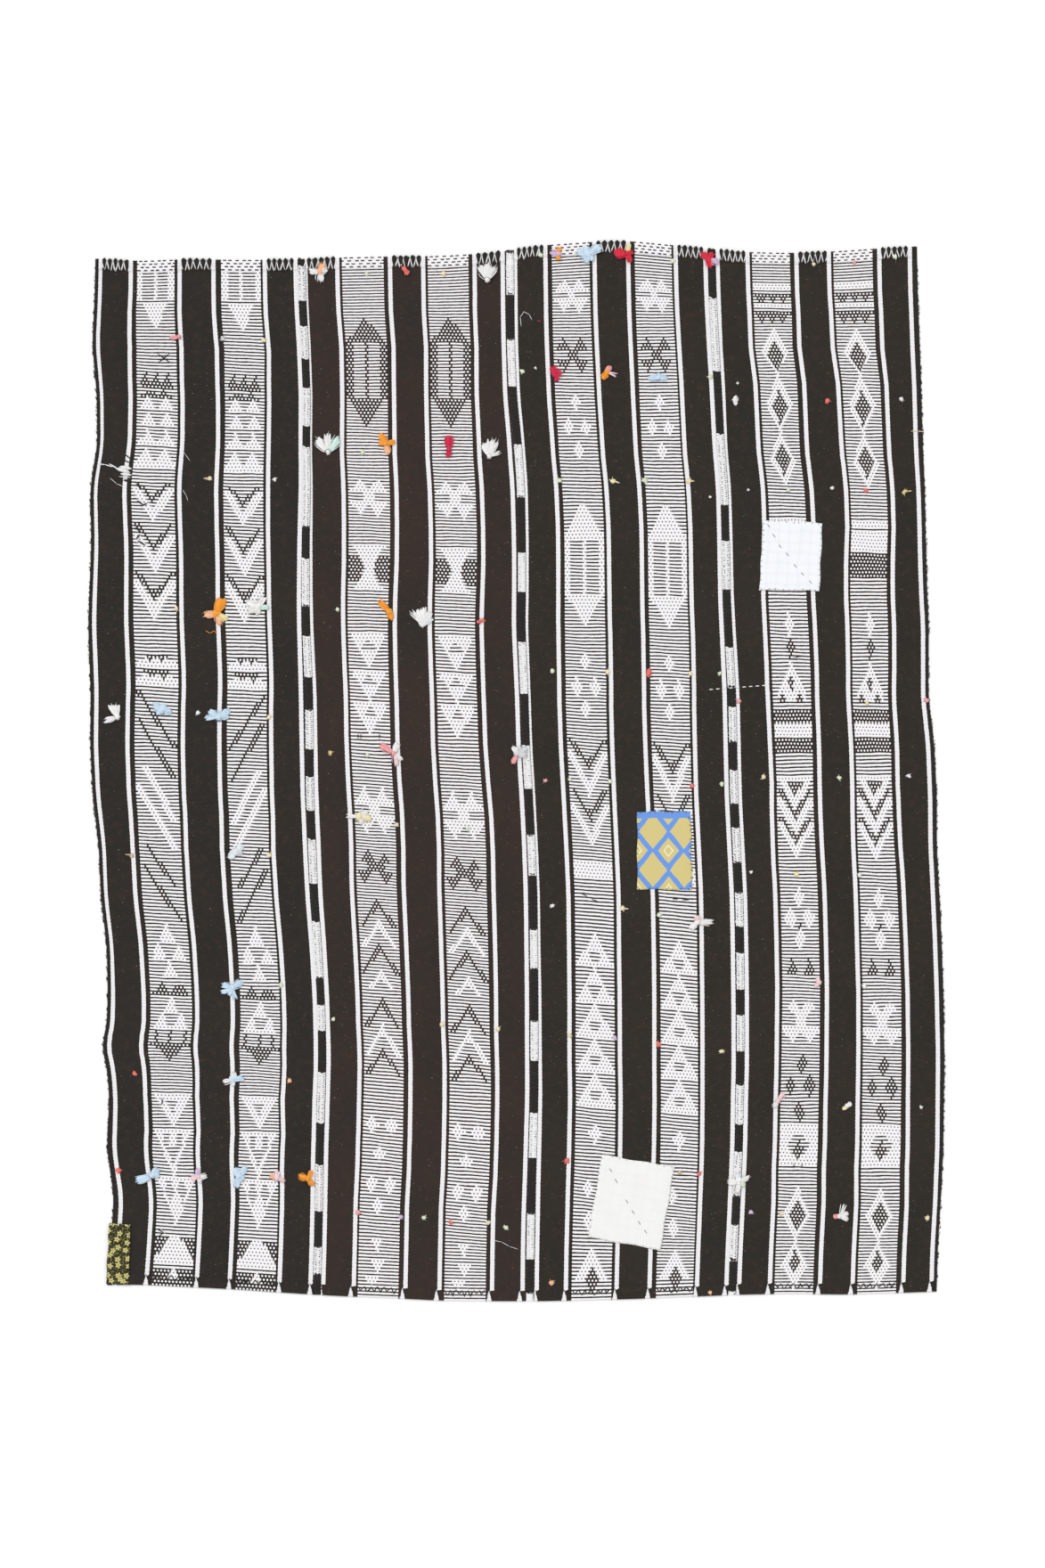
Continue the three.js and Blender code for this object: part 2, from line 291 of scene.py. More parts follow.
def fall(yarn: Yarn, top: float, foot: float, half: float, *centres: float) -> list[Figure]:
    """Triangles with the point down, at each centre."""
    return [Figure(yarn, top, foot, c, half, 0) for c in centres or (0,)]


def diamond(yarn: Yarn, top: float, foot: float, half: float, *centres: float) -> list[Figure]:
    """Diamonds at each centre."""
    middle = (top + foot) / 2
    return rise(yarn, top, middle, half, *centres) + fall(yarn, middle, foot, half, *centres)


def slant(yarn: Yarn, start: Point, end: Point, half: float = 1.5) -> list[Figure]:
    """A slanting band from (column, row) to (column, row)."""
    return [Figure(yarn, start[1], end[1], start[0], half, half, end[0])]


def arms(yarn: Yarn, meet: float, end: float, arm: float, half: float) -> list[Figure]:
    """The two arms of a V between the row where they meet and the row where they end."""
    courses = (sorted([(side * half, meet), (side * arm, end)], key=lambda point: point[1])
               for side in (-1, 1))
    return [band for start, stop in courses for band in slant(yarn, start, stop, half)]


def vee(yarn: Yarn, top: float, tip: float, arm: float, half: float = 1.5, fill: float = 0.0) -> list[Figure]:
    """A V: two arms that meet in a point, filled for some rows above it.

    Args:
        yarn: What it shows.
        top: Row that the arms start at.
        tip: Row of the point.
        arm: Middle of an arm at the top, in columns from the middle.
        half: Half width of an arm.
        fill: Rows above the point that are filled.

    Returns:
        Its figures.
    """
    slope = (arm + half) / (tip - top)
    meet = tip - 2 * half / slope
    filled = fall(yarn, min(meet, tip - fill), tip, max(2 * half, fill * slope))
    return arms(yarn, meet, top, arm, half) + filled


def peak(yarn: Yarn, tip: float, foot: float, arm: float, half: float = 1.5) -> list[Figure]:
    """A V with its point up: the same sizes as a V."""
    meet = tip + 2 * half * (foot - tip) / (arm + half)
    return arms(yarn, meet, foot, arm, half) + rise(yarn, tip, meet, 2 * half)


def bow(yarn: Yarn, top: float, foot: float, half: float, waist: float, upper: Sequence[float],
        lower: Sequence[float]) -> list[Figure]:
    """A bow: small triangles above and below a narrow waist.

    Args:
        yarn: What it shows.
        top: Row of its upper points.
        foot: Row of its lower points.
        half: Half width of a triangle.
        waist: Half width of the waist.
        upper: Middles of the upper triangles.
        lower: Middles of the lower triangles.

    Returns:
        Its figures.
    """
    start, end = (top + (foot - top) * share for share in (0.38, 0.62))
    triangles = rise(yarn, top, start, half, *upper) + fall(yarn, end, foot, half, *lower)
    return triangles + bar(yarn, start, end, waist)


def posts(yarn: Yarn, top: float, foot: float, *places: tuple[float, float]) -> list[Figure]:
    """Upright posts, each a (centre, half width)."""
    return [Figure(yarn, top, foot, centre, half, half) for centre, half in places]


def net_fall(top: float, foot: float, full: float) -> list[Figure]:
    """A white triangle, point down, below a band that holds a small ground triangle.

    Args:
        top: Row of the band's upper side.
        foot: Row of the point.
        full: Half width of the triangle.

    Returns:
        Its figures.
    """
    band, split = (top + (foot - top) * share for share in (0.18, 0.46))
    return [
        Figure(W, top, band, 0, full * 1.5, full * 1.5),
        Figure(W, band, split, 0, full * 1.5, full),
        Figure(G, band, split, 0, 0, full * 0.66),
        Figure(W, split, foot, 0, full, 0),
    ]


CHART_ONE = [
    *posts(W, 300, 339, (-9.5, 1.6), (0, 1.0), (9.0, 2.0)),
    *fall(W, 340, 371, 8),
    *rise(B, 418, 430, 3, -6, 0, 6), *bar(B, 430, 433, 9),
    *rise(B, 434, 442, 3, -3.5, 3.5), *bar(B, 442, 446, 9),
    *[figure for top in (446, 463, 484, 505) for figure in rise(W, top, top + 16, 5, -5, 5)],
    *bar(W, 520, 528),
    *vee(W, 548, 588, 10, 2.5), *vee(B, 541, 564, 8, 1.5, 8),
    *vee(W, 600, 645, 10, 2.5), *vee(B, 585, 618, 10, 1.5, 8),
    *vee(W, 652, 698, 10, 2.5), *vee(B, 640, 674, 10, 1.5, 13),
    Figure(W, 738, 746, 0, 5), *bar(W, 745, 750), *bar(B, 733, 736, 6), *fall(B, 736, 744, 2.5, -3.2, 3.2),
    Figure(W, 757, 765, 0, 6), *bar(W, 764, 770), *bar(B, 752, 755, 6.5), *fall(B, 755, 762, 2.5, -3.2, 3.2),
    *slant(B, (-10, 775), (10, 838)), *slant(B, (-10, 805), (10, 875)),
    *slant(W, (-6, 862), (9, 925), 2), *slant(W, (-10, 882), (8, 953), 2),
    *slant(B, (-8, 945), (7, 993)), *slant(B, (-10, 968), (9, 1032)),
    *rise(W, 1038, 1060, 5), Figure(W, 1060, 1079, 0, 6, 9.5), Figure(G, 1061, 1077, 0, 5, 1.5),
    *rise(W, 1078, 1098, 4),
    *rise(B, 1102, 1113, 4.5, -4.5, 4.5), *bar(B, 1113, 1118, 10),
    *rise(W, 1120, 1139, 5), Figure(W, 1139, 1158, 0, 5.5, 9.5), Figure(G, 1140, 1151, 0, 4, 2),
    *posts(B, 1158, 1170, (-7, 1), (0, 0.6), (8, 1)), *bar(B, 1169, 1173), *fall(B, 1173, 1191, 8),
    *fall(W, 1229, 1266, 10.5), *fall(G, 1236, 1251, 3.5),
    *fall(W, 1268, 1321, 10), *posts(G, 1272, 1288, (-3.3, 1.6), (3.3, 1.6)), *fall(G, 1288, 1305, 4),
    *fall(W, 1322, 1376, 11), *posts(G, 1324, 1334, (-3.6, 1.2), (3.6, 1.2)),
    *fall(G, 1334, 1352, 3, -3.6, 3.6),
    *bar(B, 1387, 1411), Figure(W, 1386, 1410, 0, 2, 10), *bar(W, 1410, 1421),
    *bar(B, 1422, 1446), *rise(W, 1422, 1433, 3),
]

CHART_TWO = [
    *rise(B, 355, 382, 10), *posts(B, 382, 446, (-9, 1.6), (0, 1.0), (9, 1.6)), *fall(B, 446, 479, 10),
    *bow(W, 538, 580, 6, 3, (-4.6, 4.6), (-4.6, 4.6)),
    *bar(B, 624, 653), Figure(G, 624, 638, 0, 5, 2.5), Figure(G, 638, 653, 0, 2.5, 5.5),
    Figure(W, 612, 626, 0, 10, 4.5), Figure(W, 626, 640, 0, 4.5, 2), Figure(W, 640, 653, 0, 2, 4.5),
    Figure(W, 653, 664, 0, 4.5, 9),
    *net_fall(710, 751, 6), *net_fall(752, 788, 6), *net_fall(788, 827, 6),
    *bow(W, 885, 936, 6, 3, (-5, 5), (-5, 5)), *bow(B, 955, 991, 5, 5, (-4.5, 4.5), (-6, 5)),
    *peak(B, 1010, 1042, 10), *peak(W, 1033, 1065, 9), *peak(B, 1057, 1093, 10), *peak(W, 1090, 1113, 7),
    *peak(B, 1118, 1152, 9), *peak(W, 1150, 1185, 9), *peak(B, 1175, 1207, 10),
    *diamond(W, 1254, 1274, 3.6, -6, 4.5), *diamond(W, 1286, 1307, 3.3, -1.5),
    *diamond(W, 1320, 1340, 3.8, -5, 5),
    *diamond(W, 1346, 1366, 3.5, -1), *fall(W, 1390, 1406, 4.5, -1), *fall(W, 1414, 1429, 4.5, -0.5),
    *fall(W, 1433, 1446, 4, -3.5),
]

CHART_THREE = [
    *bow(W, 312.5, 351, 5.6, 2.4, (-4.2, 4.6), (-4.2, 4.6)), *bow(B, 379, 416, 5, 3, (-5, 4.2), (-5, 4.7)),
    *diamond(W, 442, 461, 3.3, 0), *diamond(W, 471, 491, 3.3, -4.9, 4.9), *diamond(W, 498, 518, 3.3, 0),
    Figure(W, 567, 600, 0, 1, 10), *bar(W, 600, 606, 10.5),
    *posts(W, 606, 670, (-9.5, 1.1), (0, 1.0), (9.2, 1.6)), *fall(W, 670, 704, 10),
    *diamond(W, 732, 752, 3.3, 0), *diamond(W, 761, 782, 3.3, -5, 5), *diamond(W, 786, 806, 3.3, 0),
    *vee(W, 845, 897, 10, 2), *vee(B, 828, 863, 10, 1.5, 8), *vee(W, 905, 952, 10, 2),
    *vee(B, 886, 921, 9, 1.5, 15),
    *bar(W, 968, 988),
    *[figure for top in (1050, 1088, 1127, 1166, 1204)
      for figure in (*rise(W, top, top + 18, 5.5), Figure(W, top + 18, top + 34, 0, 5.5, 10),
                     *bar(W, top + 34, top + 38), Figure(G, top + 19, top + 33, 0, 4, 1))],
    *diamond(W, 1261, 1285, 3.8, 0), *diamond(W, 1325, 1346, 3.5, -3), *diamond(W, 1362, 1386, 3.5, -2),
    *rise(W, 1402, 1440, 9.5), *diamond(B, 1422, 1452, 4.5, 0),
]

CHART_FOUR = [
    *bar(W, 320, 325), *bar(B, 329, 333), *fall(B, 333, 341, 3, -6.5, 0, 6), *bar(W, 343, 347),
    *bar(B, 350, 354), *fall(B, 354, 363, 3, -6.5, 0, 6),
    *diamond(W, 369, 421, 8, 0), *diamond(B, 384, 415, 5, 0),
    *diamond(W, 420, 488, 8, 0), *diamond(B, 437, 475, 5, 0), *bar(W, 450, 453, 6),
    *diamond(W, 487, 546, 8, 0), *diamond(B, 497, 534, 5, 0),
    *bar(W, 583, 590), *bar(W, 597, 619), *bar(B, 620, 646),
    *diamond(W, 689, 714, 3, 0), *diamond(B, 714, 740, 3, 0),
    *rise(W, 744, 780, 8), *bar(W, 780, 788, 8), *diamond(B, 759, 774, 2.5, 0),
    *rise(B, 774, 786, 3, -5.5, 4.5),
    *bar(B, 797, 811), *bar(W, 811, 829), *bar(B, 829, 844),
    *vee(W, 925, 964, 10, 2), *vee(B, 917, 947, 9, 1.5, 6), *vee(W, 897, 938, 10, 2.5),
    *fall(W, 873, 912, 10.5),
    *bar(W, 872, 877), *vee(B, 886, 919, 9, 1.5, 6), Figure(B, 876, 891, 0, 5.5, 1),
    *diamond(W, 997, 1021, 3.3, 0), *diamond(W, 1020, 1044, 4.2, -5.3, 5.3), *diamond(B, 1036, 1042, 1, 0),
    *diamond(W, 1043, 1068, 3.3, 0), *rise(B, 1075, 1091, 3.5, -5, 5),
    *rise(W, 1123, 1136, 5.5, -4.5, 4.5), Figure(W, 1136, 1142, 0, 6, 2.5), *bar(W, 1142, 1153, 2.5),
    *bar(W, 1153, 1159), *fall(W, 1159, 1173, 5, -5, 5),
    *diamond(B, 1182, 1207, 3.8, 1), *diamond(B, 1206, 1230, 4, -5.5, 6), *diamond(B, 1234, 1259, 3.8, 0),
    *bar(W, 1264, 1309), Figure(G, 1275, 1286, 0, 3, 6.5), Figure(G, 1286, 1297, 0, 6.5, 3),
    *diamond(B, 1279, 1301, 3.5, 0),
    *diamond(W, 1332, 1396, 8, 0), *diamond(B, 1347, 1381, 5, 0),
    *diamond(W, 1395, 1447, 8, 0), *diamond(B, 1403, 1428, 3.5, 0),
]


class Layout(NamedTuple):
    """Places of the stripes of a strip, in thousandths of the way from one long line to the next.

    first to sixth are the middles of the white stripes; the pairs are the sides of the pattern
    stripes. row is the row of the photograph that they are read at.
    """

    row: float
    first: float
    second: float
    left_from: float
    left_to: float
    third: float
    fourth: float
    right_from: float
    right_to: float
    fifth: float
    sixth: float

    WHITES = ("first", "second", "third", "fourth", "fifth", "sixth")
    CHARTS = ("left_from", "left_to", "right_from", "right_to")


class Band(Enum):
    """Kinds of column across a strip."""

    SELVEDGE = 0
    WHITE = 1
    WIDE = 2
    THIN = 3
    CHART = 4


BANDS = (
    (Band.SELVEDGE, 1), (Band.WHITE, 1), (Band.WIDE, 3), (Band.WHITE, 1),
    (Band.THIN, 1), (Band.CHART, CHART_COLUMNS), (Band.THIN, 1),
    (Band.WHITE, 1), (Band.WIDE, 3), (Band.WHITE, 1),
    (Band.THIN, 1), (Band.CHART, CHART_COLUMNS), (Band.THIN, 1),
    (Band.WHITE, 1), (Band.WIDE, 3), (Band.WHITE, 1), (Band.SELVEDGE, 1),
)


def spans() -> tuple[tuple[Band, int, int], ...]:
    """Every band with the numbers of the columns of points at its two sides."""
    ends = list(accumulate(count for _, count in BANDS))
    return tuple((band, end - count, end) for (band, count), end in zip(BANDS, ends))


SPANS = spans()


# Materials


AddNode = Callable[..., bpy.types.Node]
Socket = bpy.types.Node | bpy.types.NodeSocket


def add_node(tree: bpy.types.NodeTree, kind: str, *values: object, named: dict | None = None,
             **settings: object) -> bpy.types.Node:
    """Adds a shader node.

    Args:
        tree: The material's node tree.
        kind: Node type without its leading ShaderNode and, after a space, its operation or its data type.
        values: For the inputs in order, a value, a socket, or a node whose first live output is taken.
        named: The same for inputs given by name or number.
        settings: Properties of the node itself.

    Returns:
        The new node.
    """
    kind, _, mode = kind.partition(" ")
    node = tree.nodes.new("ShaderNode" + kind)
    if mode:
        settings["data_type" if kind == "Mix" else "operation"] = mode
    for key, value in settings.items():
        setattr(node, key, value)
    for key, value in [*enumerate(values), *(named or {}).items()]:
        if isinstance(value, bpy.types.Node):
            value = next(output for output in value.outputs if output.enabled)
        if isinstance(value, bpy.types.NodeSocket):
            tree.links.new(value, node.inputs[key])
        else:
            node.inputs[key].default_value = value
    return node


def new_material(name: str) -> tuple[bpy.types.Material, AddNode]:
    """An empty material.

    Args:
        name: Its name.

    Returns:
        The material, and add_node bound to its tree.
    """
    material = bpy.data.materials.new(name)
    material.use_nodes = True
    material.node_tree.nodes.clear()
    return material, partial(add_node, material.node_tree)


def close_surface(node: AddNode, face: Socket, roughness: float, sheen: float = 0.0,
                  height: Socket | None = None, strength: float = 0.5, depth: float = 0.0004) -> None:
    """Ends a material in one matt shader.

    Args:
        node: The material's add_node.
        face: Its colour.
        roughness: Its even roughness.
        sheen: Weight of the soft sheen of fibre ends.
        height: What its bump follows, or None for a smooth surface.
        strength: Strength of the bump.
        depth: Depth of the bump in metres.
    """
    sockets = {"Base Color": face, "Roughness": roughness, "Sheen Weight": sheen, "Sheen Roughness": 0.5,
               "Specular IOR Level": 0.2}
    if height is not None:
        sockets["Normal"] = node("Bump", named={"Strength": strength, "Distance": depth, "Height": height})
    node("OutputMaterial", node("BsdfPrincipled", named=sockets))


@dataclass(frozen=True)
class StripWool:
    """Hand-spun wool in a warp-faced strip: undyed white and natural black, dull, with a fine rib.

    The figures are runs of weft that cover the warp, and show as rounded floats. The black is a
    brown fleece, so it varies from near black to brown along the yarn. Sizes are in metres.
    """

    name: str
    black: str = "#262520"
    brown: str = "#2d2823"
    worn: str = "#38332e"
    white: str = "#f6f4f6"
    shade: str = "#e9e7e9"
    mottle: str = "#47332c"
    white_float: float = 0.57
    black_float: float = 0.40
    fibre: tuple[float, float, float] = (0.003846, 0.001111, 0.0025)
    cloud: float = 0.2
    mottling: float = 0.014286
    fleck: float = 0.0030303
    back_fibre: float = 0.002

    def dress(self) -> bpy.types.Material:
        """Builds the material of the cloth's face, with painted shade in the low valleys of the white yarn.

        Returns:
            The material.
        """
        material, node = new_material(self.name)
        yarn = node("Attribute", attribute_name="yarn").outputs["Vector"]
        base, dot, warp = node("SeparateXYZ", yarn).outputs
        u, v, _ = node("SeparateXYZ", node("UVMap", uv_map="weave")).outputs
        place = node("TexCoord").outputs["Object"]
        run = self.across_pick(node, v)
        white = self.whiteness(node, u, v, run, base, dot)

        stretched = node("Mapping", place, named={"Scale": tuple(1 / size for size in self.fibre)})
        fibre = node("TexNoise", stretched, named={"Scale": 1.0, "Detail": 2.0})
        side = node("Math PINGPONG", node("Math FRACT", u), 0.5)
        ends = node("Math MULTIPLY", node("Math FLOOR", u), 0.5)
        plain = node("Math PINGPONG", node("Math MULTIPLY_ADD", v, 2.0, ends), 0.5)
        oval = node("Math MULTIPLY", node("Math MULTIPLY", plain, side), 4.0)
        weft_top = node("Math POWER", node("Math MULTIPLY", run, 2.0), 0.6)
        height = node("Mix", warp, named={2: weft_top, 3: oval})

        black = self.fleece(node, place, fibre)
        pale = node("Mix RGBA", node("Math POWER", fibre, 2.0),
                    named={6: linear(self.white), 7: linear(self.shade)})
        # Painted shade: the white yarn is up to a tenth darker where its relief height is low, at the sides
        # of each pick and of each warp end.
        painted_valley_shade = node("MapRange", height, 0.0, 0.4, 0.9, 1.0)
        pale = node("Mix RGBA", 1.0, named={6: pale, 7: painted_valley_shade}, blend_type="MULTIPLY")
        face = node("Mix RGBA", white, named={6: black, 7: pale})
        bumpy = node("Math MULTIPLY_ADD", fibre, 0.35, height)
        close_surface(node, face, 0.92, 0.02, bumpy, 0.6, 0.0005)
        return material

    @staticmethod
    def across_pick(node: AddNode, v: Socket) -> Socket:
        """Place across a single pick.

        Args:
            node: The material's add_node.
            v: Count of pairs of picks.

        Returns:
            0 at the pick's sides and 0.5 at its middle.
        """
        in_pair = node("Math FRACT", v)
        thick = node("Math LESS_THAN", in_pair, THICK_SHARE)
        in_thick = node("Math DIVIDE", in_pair, THICK_SHARE)
        in_thin = node("Math DIVIDE", node("Math SUBTRACT", in_pair, THICK_SHARE), 1 - THICK_SHARE)
        return node("Math PINGPONG", node("Mix", thick, named={2: in_thin, 3: in_thick}), 0.5)

    def whiteness(self, node: AddNode, u: Socket, v: Socket, run: Socket, base: Socket,
                  dot: Socket) -> Socket:
        """Whether the cloth is white: its base, turned over inside the rounded floats.

        Args:
            node: The material's add_node.
            u: Count of chart columns or warp ends.
            v: Count of pairs of picks.
            run: Place across a pick.
            base: 1 where the pick is white.
            dot: 1 where the place holds a float.

        Returns:
            1 where it is white.
        """
        stagger = node("Math ADD", node("Math ADD", u, node("Math FLOOR", v)), 0.5)
        in_float = node("Math FRACT", node("Math MULTIPLY", stagger, 0.5))
        off_float = node("Math MULTIPLY_ADD", in_float, 2.0, -1.0)
        reach = node("Mix", base, named={2: self.white_float, 3: self.black_float})
        sideways = node("Math DIVIDE", off_float, reach)
        off_run = node("Math MULTIPLY_ADD", run, -2.0, 1.0)
        upward = node("Math MULTIPLY", off_run, node("Mix", base, named={2: 0.95, 3: 1.15}))
        far = node("VectorMath LENGTH", node("CombineXYZ", sideways, upward))
        inside = node("MapRange", far, 1.15, 0.85, 0.0, 1.0, interpolation_type="SMOOTHSTEP")
        turned = node("Math MULTIPLY_ADD", base, -2.0, 1.0)
        return node("Math MULTIPLY_ADD", node("Math MULTIPLY", inside, dot), turned, base, use_clamp=True)

    def fleece(self, node: AddNode, place: Socket, fibre: Socket) -> Socket:
        """Colour of the black yarn: near black to brown, mottled, with a few pale flecks.

        Args:
            node: The material's add_node.
            place: Object coordinates.
            fibre: The fine noise of the fibres.

        Returns:
            The colour.
        """
        cloud = node("TexNoise", place, named={"Scale": 1 / self.cloud, "Detail": 3.0})
        black = node("Mix RGBA", node("MapRange", cloud, 0.35, 0.68),
                     named={6: linear(self.black), 7: linear(self.brown)})
        black = node("Mix RGBA", node("Math MULTIPLY", fibre, 0.5), named={6: black, 7: linear(self.worn)})
        patchy = node("TexNoise", place, named={"Scale": 1 / self.mottling, "Detail": 4.0, "Roughness": 0.7})
        black = node("Mix RGBA", node("MapRange", patchy, 0.5, 0.75, 0.0, 0.55),
                     named={6: black, 7: linear(self.mottle)})
        flecks = node("TexNoise", place, named={"Scale": 1 / self.fleck, "Detail": 1.0})
        return node("Mix RGBA", node("MapRange", flecks, 0.75, 0.81, 0.0, 0.3),
                    named={6: black, 7: linear(self.shade)})

    def dress_back(self, edges: Sequence[float]) -> bpy.types.Material:
        """Builds the material of the cloth's underside, striped at the given shares of its width.

        Args:
            edges: Sides of the bands from 0 to 1, in order, one more than there are bands.

        Returns:
            The material.
        """
        material, node = new_material(self.name + " back")
        u, v, _ = node("SeparateXYZ", node("UVMap", uv_map="weave")).outputs
        stripes = node("ValToRGB", u)
        ramp = stripes.color_ramp
        ramp.interpolation = "CONSTANT"
        for (band, _), start in zip(BANDS[1:], edges[1:-1]):
            level = {Band.WHITE: 1.0, Band.CHART: 0.5}.get(band, 0.0)
            ramp.elements.new(min(max(start, 0.001), 0.999)).color = (level, level, level, 1)
        ramp.elements[0].color = (0, 0, 0, 1)
        ramp.elements.remove(ramp.elements[-1])
        whites = node("Math GREATER_THAN", stripes, 0.75)
        charts = node("Math SUBTRACT", node("Math GREATER_THAN", stripes, 0.25), whites)
        picks = node("Math LESS_THAN", node("Math FRACT", v), THICK_SHARE)
        white = node("Math MULTIPLY_ADD", charts, picks, whites)
        fibre = node("TexNoise", node("TexCoord").outputs["Object"], named={"Scale": 1 / self.back_fibre})
        black = node("Mix RGBA", fibre, named={6: linear(self.black), 7: linear(self.brown)})
        pale = node("Mix RGBA", fibre, named={6: linear(self.white), 7: linear(self.shade)})
        face = node("Mix RGBA", white, named={6: black, 7: pale})
        close_surface(node, face, 0.95, height=fibre)
        return material


@dataclass(frozen=True)
class LooseYarn:
    """Twisted wool or cotton yarn, dyed: matt, with streaks of lighter fibre along it."""

    name: str
    pitch: float = 0.0011
    strength: float = 0.5
    streak: float = 0.2

    def dress(self) -> bpy.types.Material:
        """Builds the material, which takes its dye from the mesh.

        Returns:
            The material.
        """
        material, node = new_material(self.name)
        dye = node("Attribute", attribute_name="dye")
        streaks = node("TexNoise", node("TexCoord").outputs["Object"],
                       named={"Scale": 1 / self.pitch, "Detail": 3.0})
        value = node("MapRange", streaks, 0.3, 0.7, 1 - self.streak, 1 + self.streak * 0.6)
        depth = node("MapRange", streaks, 0.3, 0.7, 1.1, 1 - self.streak * 0.6)
        face = node("HueSaturation", named={"Saturation": depth, "Value": value, "Color": dye})
        close_surface(node, face, 0.88, 0.12, streaks, self.strength)
        return material


class Print(Enum):
    """What is printed on a mending patch."""

    WINDOW = "faint woven check"
    DIAMOND = "diamonds"
    WASHED = "washed cotton"
    FLOWER = "scattered flowers"


@dataclass(frozen=True)
class PatchCotton:
    """Plain-woven cotton of a patch: smooth and matt, with a fine thread grid and its print."""

    name: str
    kind: Print
    ground: str
    ink: str
    second: str
    thread: float = 0.0009
    cloud: float = 1 / 30

    def dress(self) -> bpy.types.Material:
        """Builds the material; the map runs in metres over the patch.

        Returns:
            The material.
        """
        material, node = new_material(self.name)
        place = node("UVMap", uv_map="cut")
        u, v, _ = node("SeparateXYZ", place).outputs
        warp, weft = (node("Math PINGPONG", node("Math DIVIDE", part, self.thread), 1.0) for part in (u, v))
        threads = node("Math MULTIPLY", warp, weft)
        cloud = node("TexNoise", place, named={"Scale": 1 / self.cloud, "Detail": 3.0})
        make = {Print.DIAMOND: self.diamonds, Print.FLOWER: self.flowers}.get(self.kind, self.checks)
        face = make(node, u, v, cloud)
        grid = node("MapRange", threads, 0.0, 1.0, 0.6, 1.0)
        face = node("Mix RGBA", 0.12, named={6: face, 7: grid}, blend_type="MULTIPLY")
        close_surface(node, face, 0.85, 0.05, node("Math MULTIPLY_ADD", cloud, 3.0, threads), 0.35)
        return material

    def diamonds(self, node: AddNode, u: Socket, v: Socket, cloud: Socket) -> Socket:
        """A lattice of diamonds, each with a small one inside, and a plain border.

        Args:
            node: The material's add_node.
            u: Place across the patch in metres.
            v: Place along the patch in metres.
            cloud: A soft noise.

        Returns:
            The colour.
        """
        cell, border = 0.062, 0.142
        du = node("Math PINGPONG", node("Math DIVIDE", u, cell), 0.5)
        dv = node("Math PINGPONG", node("Math DIVIDE", v, cell * 1.25), 0.5)
        wobble = node("Math MULTIPLY_ADD", cloud, 0.12, node("Math ADD", du, dv))
        face = linear(self.ground)
        for mask, ink in ((node("Math COMPARE", wobble, 0.5, 0.1), self.ink),
                          (node("Math COMPARE", wobble, 0.2, 0.03), self.second),
                          (node("Math GREATER_THAN", v, border), self.ink)):
            face = node("Mix RGBA", mask, named={6: face, 7: linear(ink)})
        return face

    def flowers(self, node: AddNode, u: Socket, v: Socket, cloud: Socket) -> Socket:
        """Scattered flowers of five petals and specks.

        Args:
            node: The material's add_node.
            u: Place across the patch in metres.
            v: Place along the patch in metres.
            cloud: A soft noise, unused here.

        Returns:
            The colour.
        """
        spacing, speck = 1 / 62, 1 / 300
        petal, waist, heart = 0.0038, 0.0022, 0.0016
        place = node("CombineXYZ", u, v)
        cells = node("TexVoronoi", voronoi_dimensions="2D",
                     named={"Vector": place, "Scale": 1 / spacing, "Randomness": 0.7})
        offset = node("VectorMath SUBTRACT", place, cells.outputs["Position"])
        x, y, _ = node("SeparateXYZ", offset).outputs
        turn = node("Math COSINE", node("Math MULTIPLY", node("Math ARCTAN2", y, x), 2.5))
        reach = node("Math MULTIPLY_ADD", node("Math ABSOLUTE", turn), petal, waist)
        far = node("VectorMath LENGTH", offset)
        specks = node("Math GREATER_THAN", node("TexNoise", place, named={"Scale": 1 / speck}), 0.56)
        face = linear(self.ground)
        for mask, ink in ((node("Math MULTIPLY", specks, 0.8), self.second),
                          (node("Math LESS_THAN", far, reach), self.ink),
                          (node("Math LESS_THAN", far, heart), self.second)):
            face = node("Mix RGBA", mask, named={6: face, 7: linear(ink)})
        return face

    def checks(self, node: AddNode, u: Socket, v: Socket, cloud: Socket) -> Socket:
        """A washed mottle with a woven check, which is faint where the cotton is most washed.

        Args:
            node: The material's add_node.
            u: Place across the patch in metres.
            v: Place along the patch in metres.
            cloud: A soft noise.

        Returns:
            The colour.
        """
        square = 0.021
        drift = node("Math MULTIPLY", cloud, 0.012)
        lines, cross = (node("Math GREATER_THAN", node("Math FRACT", node(
            "Math DIVIDE", node("Math ADD", part, drift), square)), 0.7) for part in (u, v))
        face = node("Mix RGBA", node("Math MULTIPLY", cloud, 0.8),
                    named={6: linear(self.ground), 7: linear(self.second)})
        share = 0.2 if self.kind is Print.WINDOW else 0.075
        check = node("Math MULTIPLY", node("Math ADD", lines, cross), share)
        return node("Mix RGBA", check, named={6: face, 7: linear(self.ink)})


@dataclass(frozen=True)
class StudioFloor:
    """Seamless white paper: even and matt."""

    name: str = "white studio paper"
    colour: str = "#ffffff"
    shade: str = "#fafafa"
    cloud: float = 1 / 3

    def dress(self) -> bpy.types.Material:
        """Builds the material.

        Returns:
            The material.
        """
        material, node = new_material(self.name)
        grain = node("TexNoise", node("TexCoord").outputs["Object"], named={"Scale": 1 / self.cloud})
        face = node("Mix RGBA", node("Math MULTIPLY", grain, 0.2),
                    named={6: linear(self.colour), 7: linear(self.shade)})
        close_surface(node, face, 0.9)
        return material


# Pieces


def settle(name: str, mesh: bpy.types.Mesh, slot: str, replaced: Iterable[str] = ()) -> bpy.types.Object:
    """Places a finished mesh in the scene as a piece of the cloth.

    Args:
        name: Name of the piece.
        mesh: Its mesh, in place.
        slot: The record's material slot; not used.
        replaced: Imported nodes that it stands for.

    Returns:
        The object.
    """
    piece = bpy.data.objects.new(name, mesh)
    bpy.context.scene.collection.objects.link(piece)
    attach(piece, BODY)
    if replaced:
        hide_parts(*replaced)
    LOG.info("%s: %d faces", name, len(mesh.polygons))
    return piece


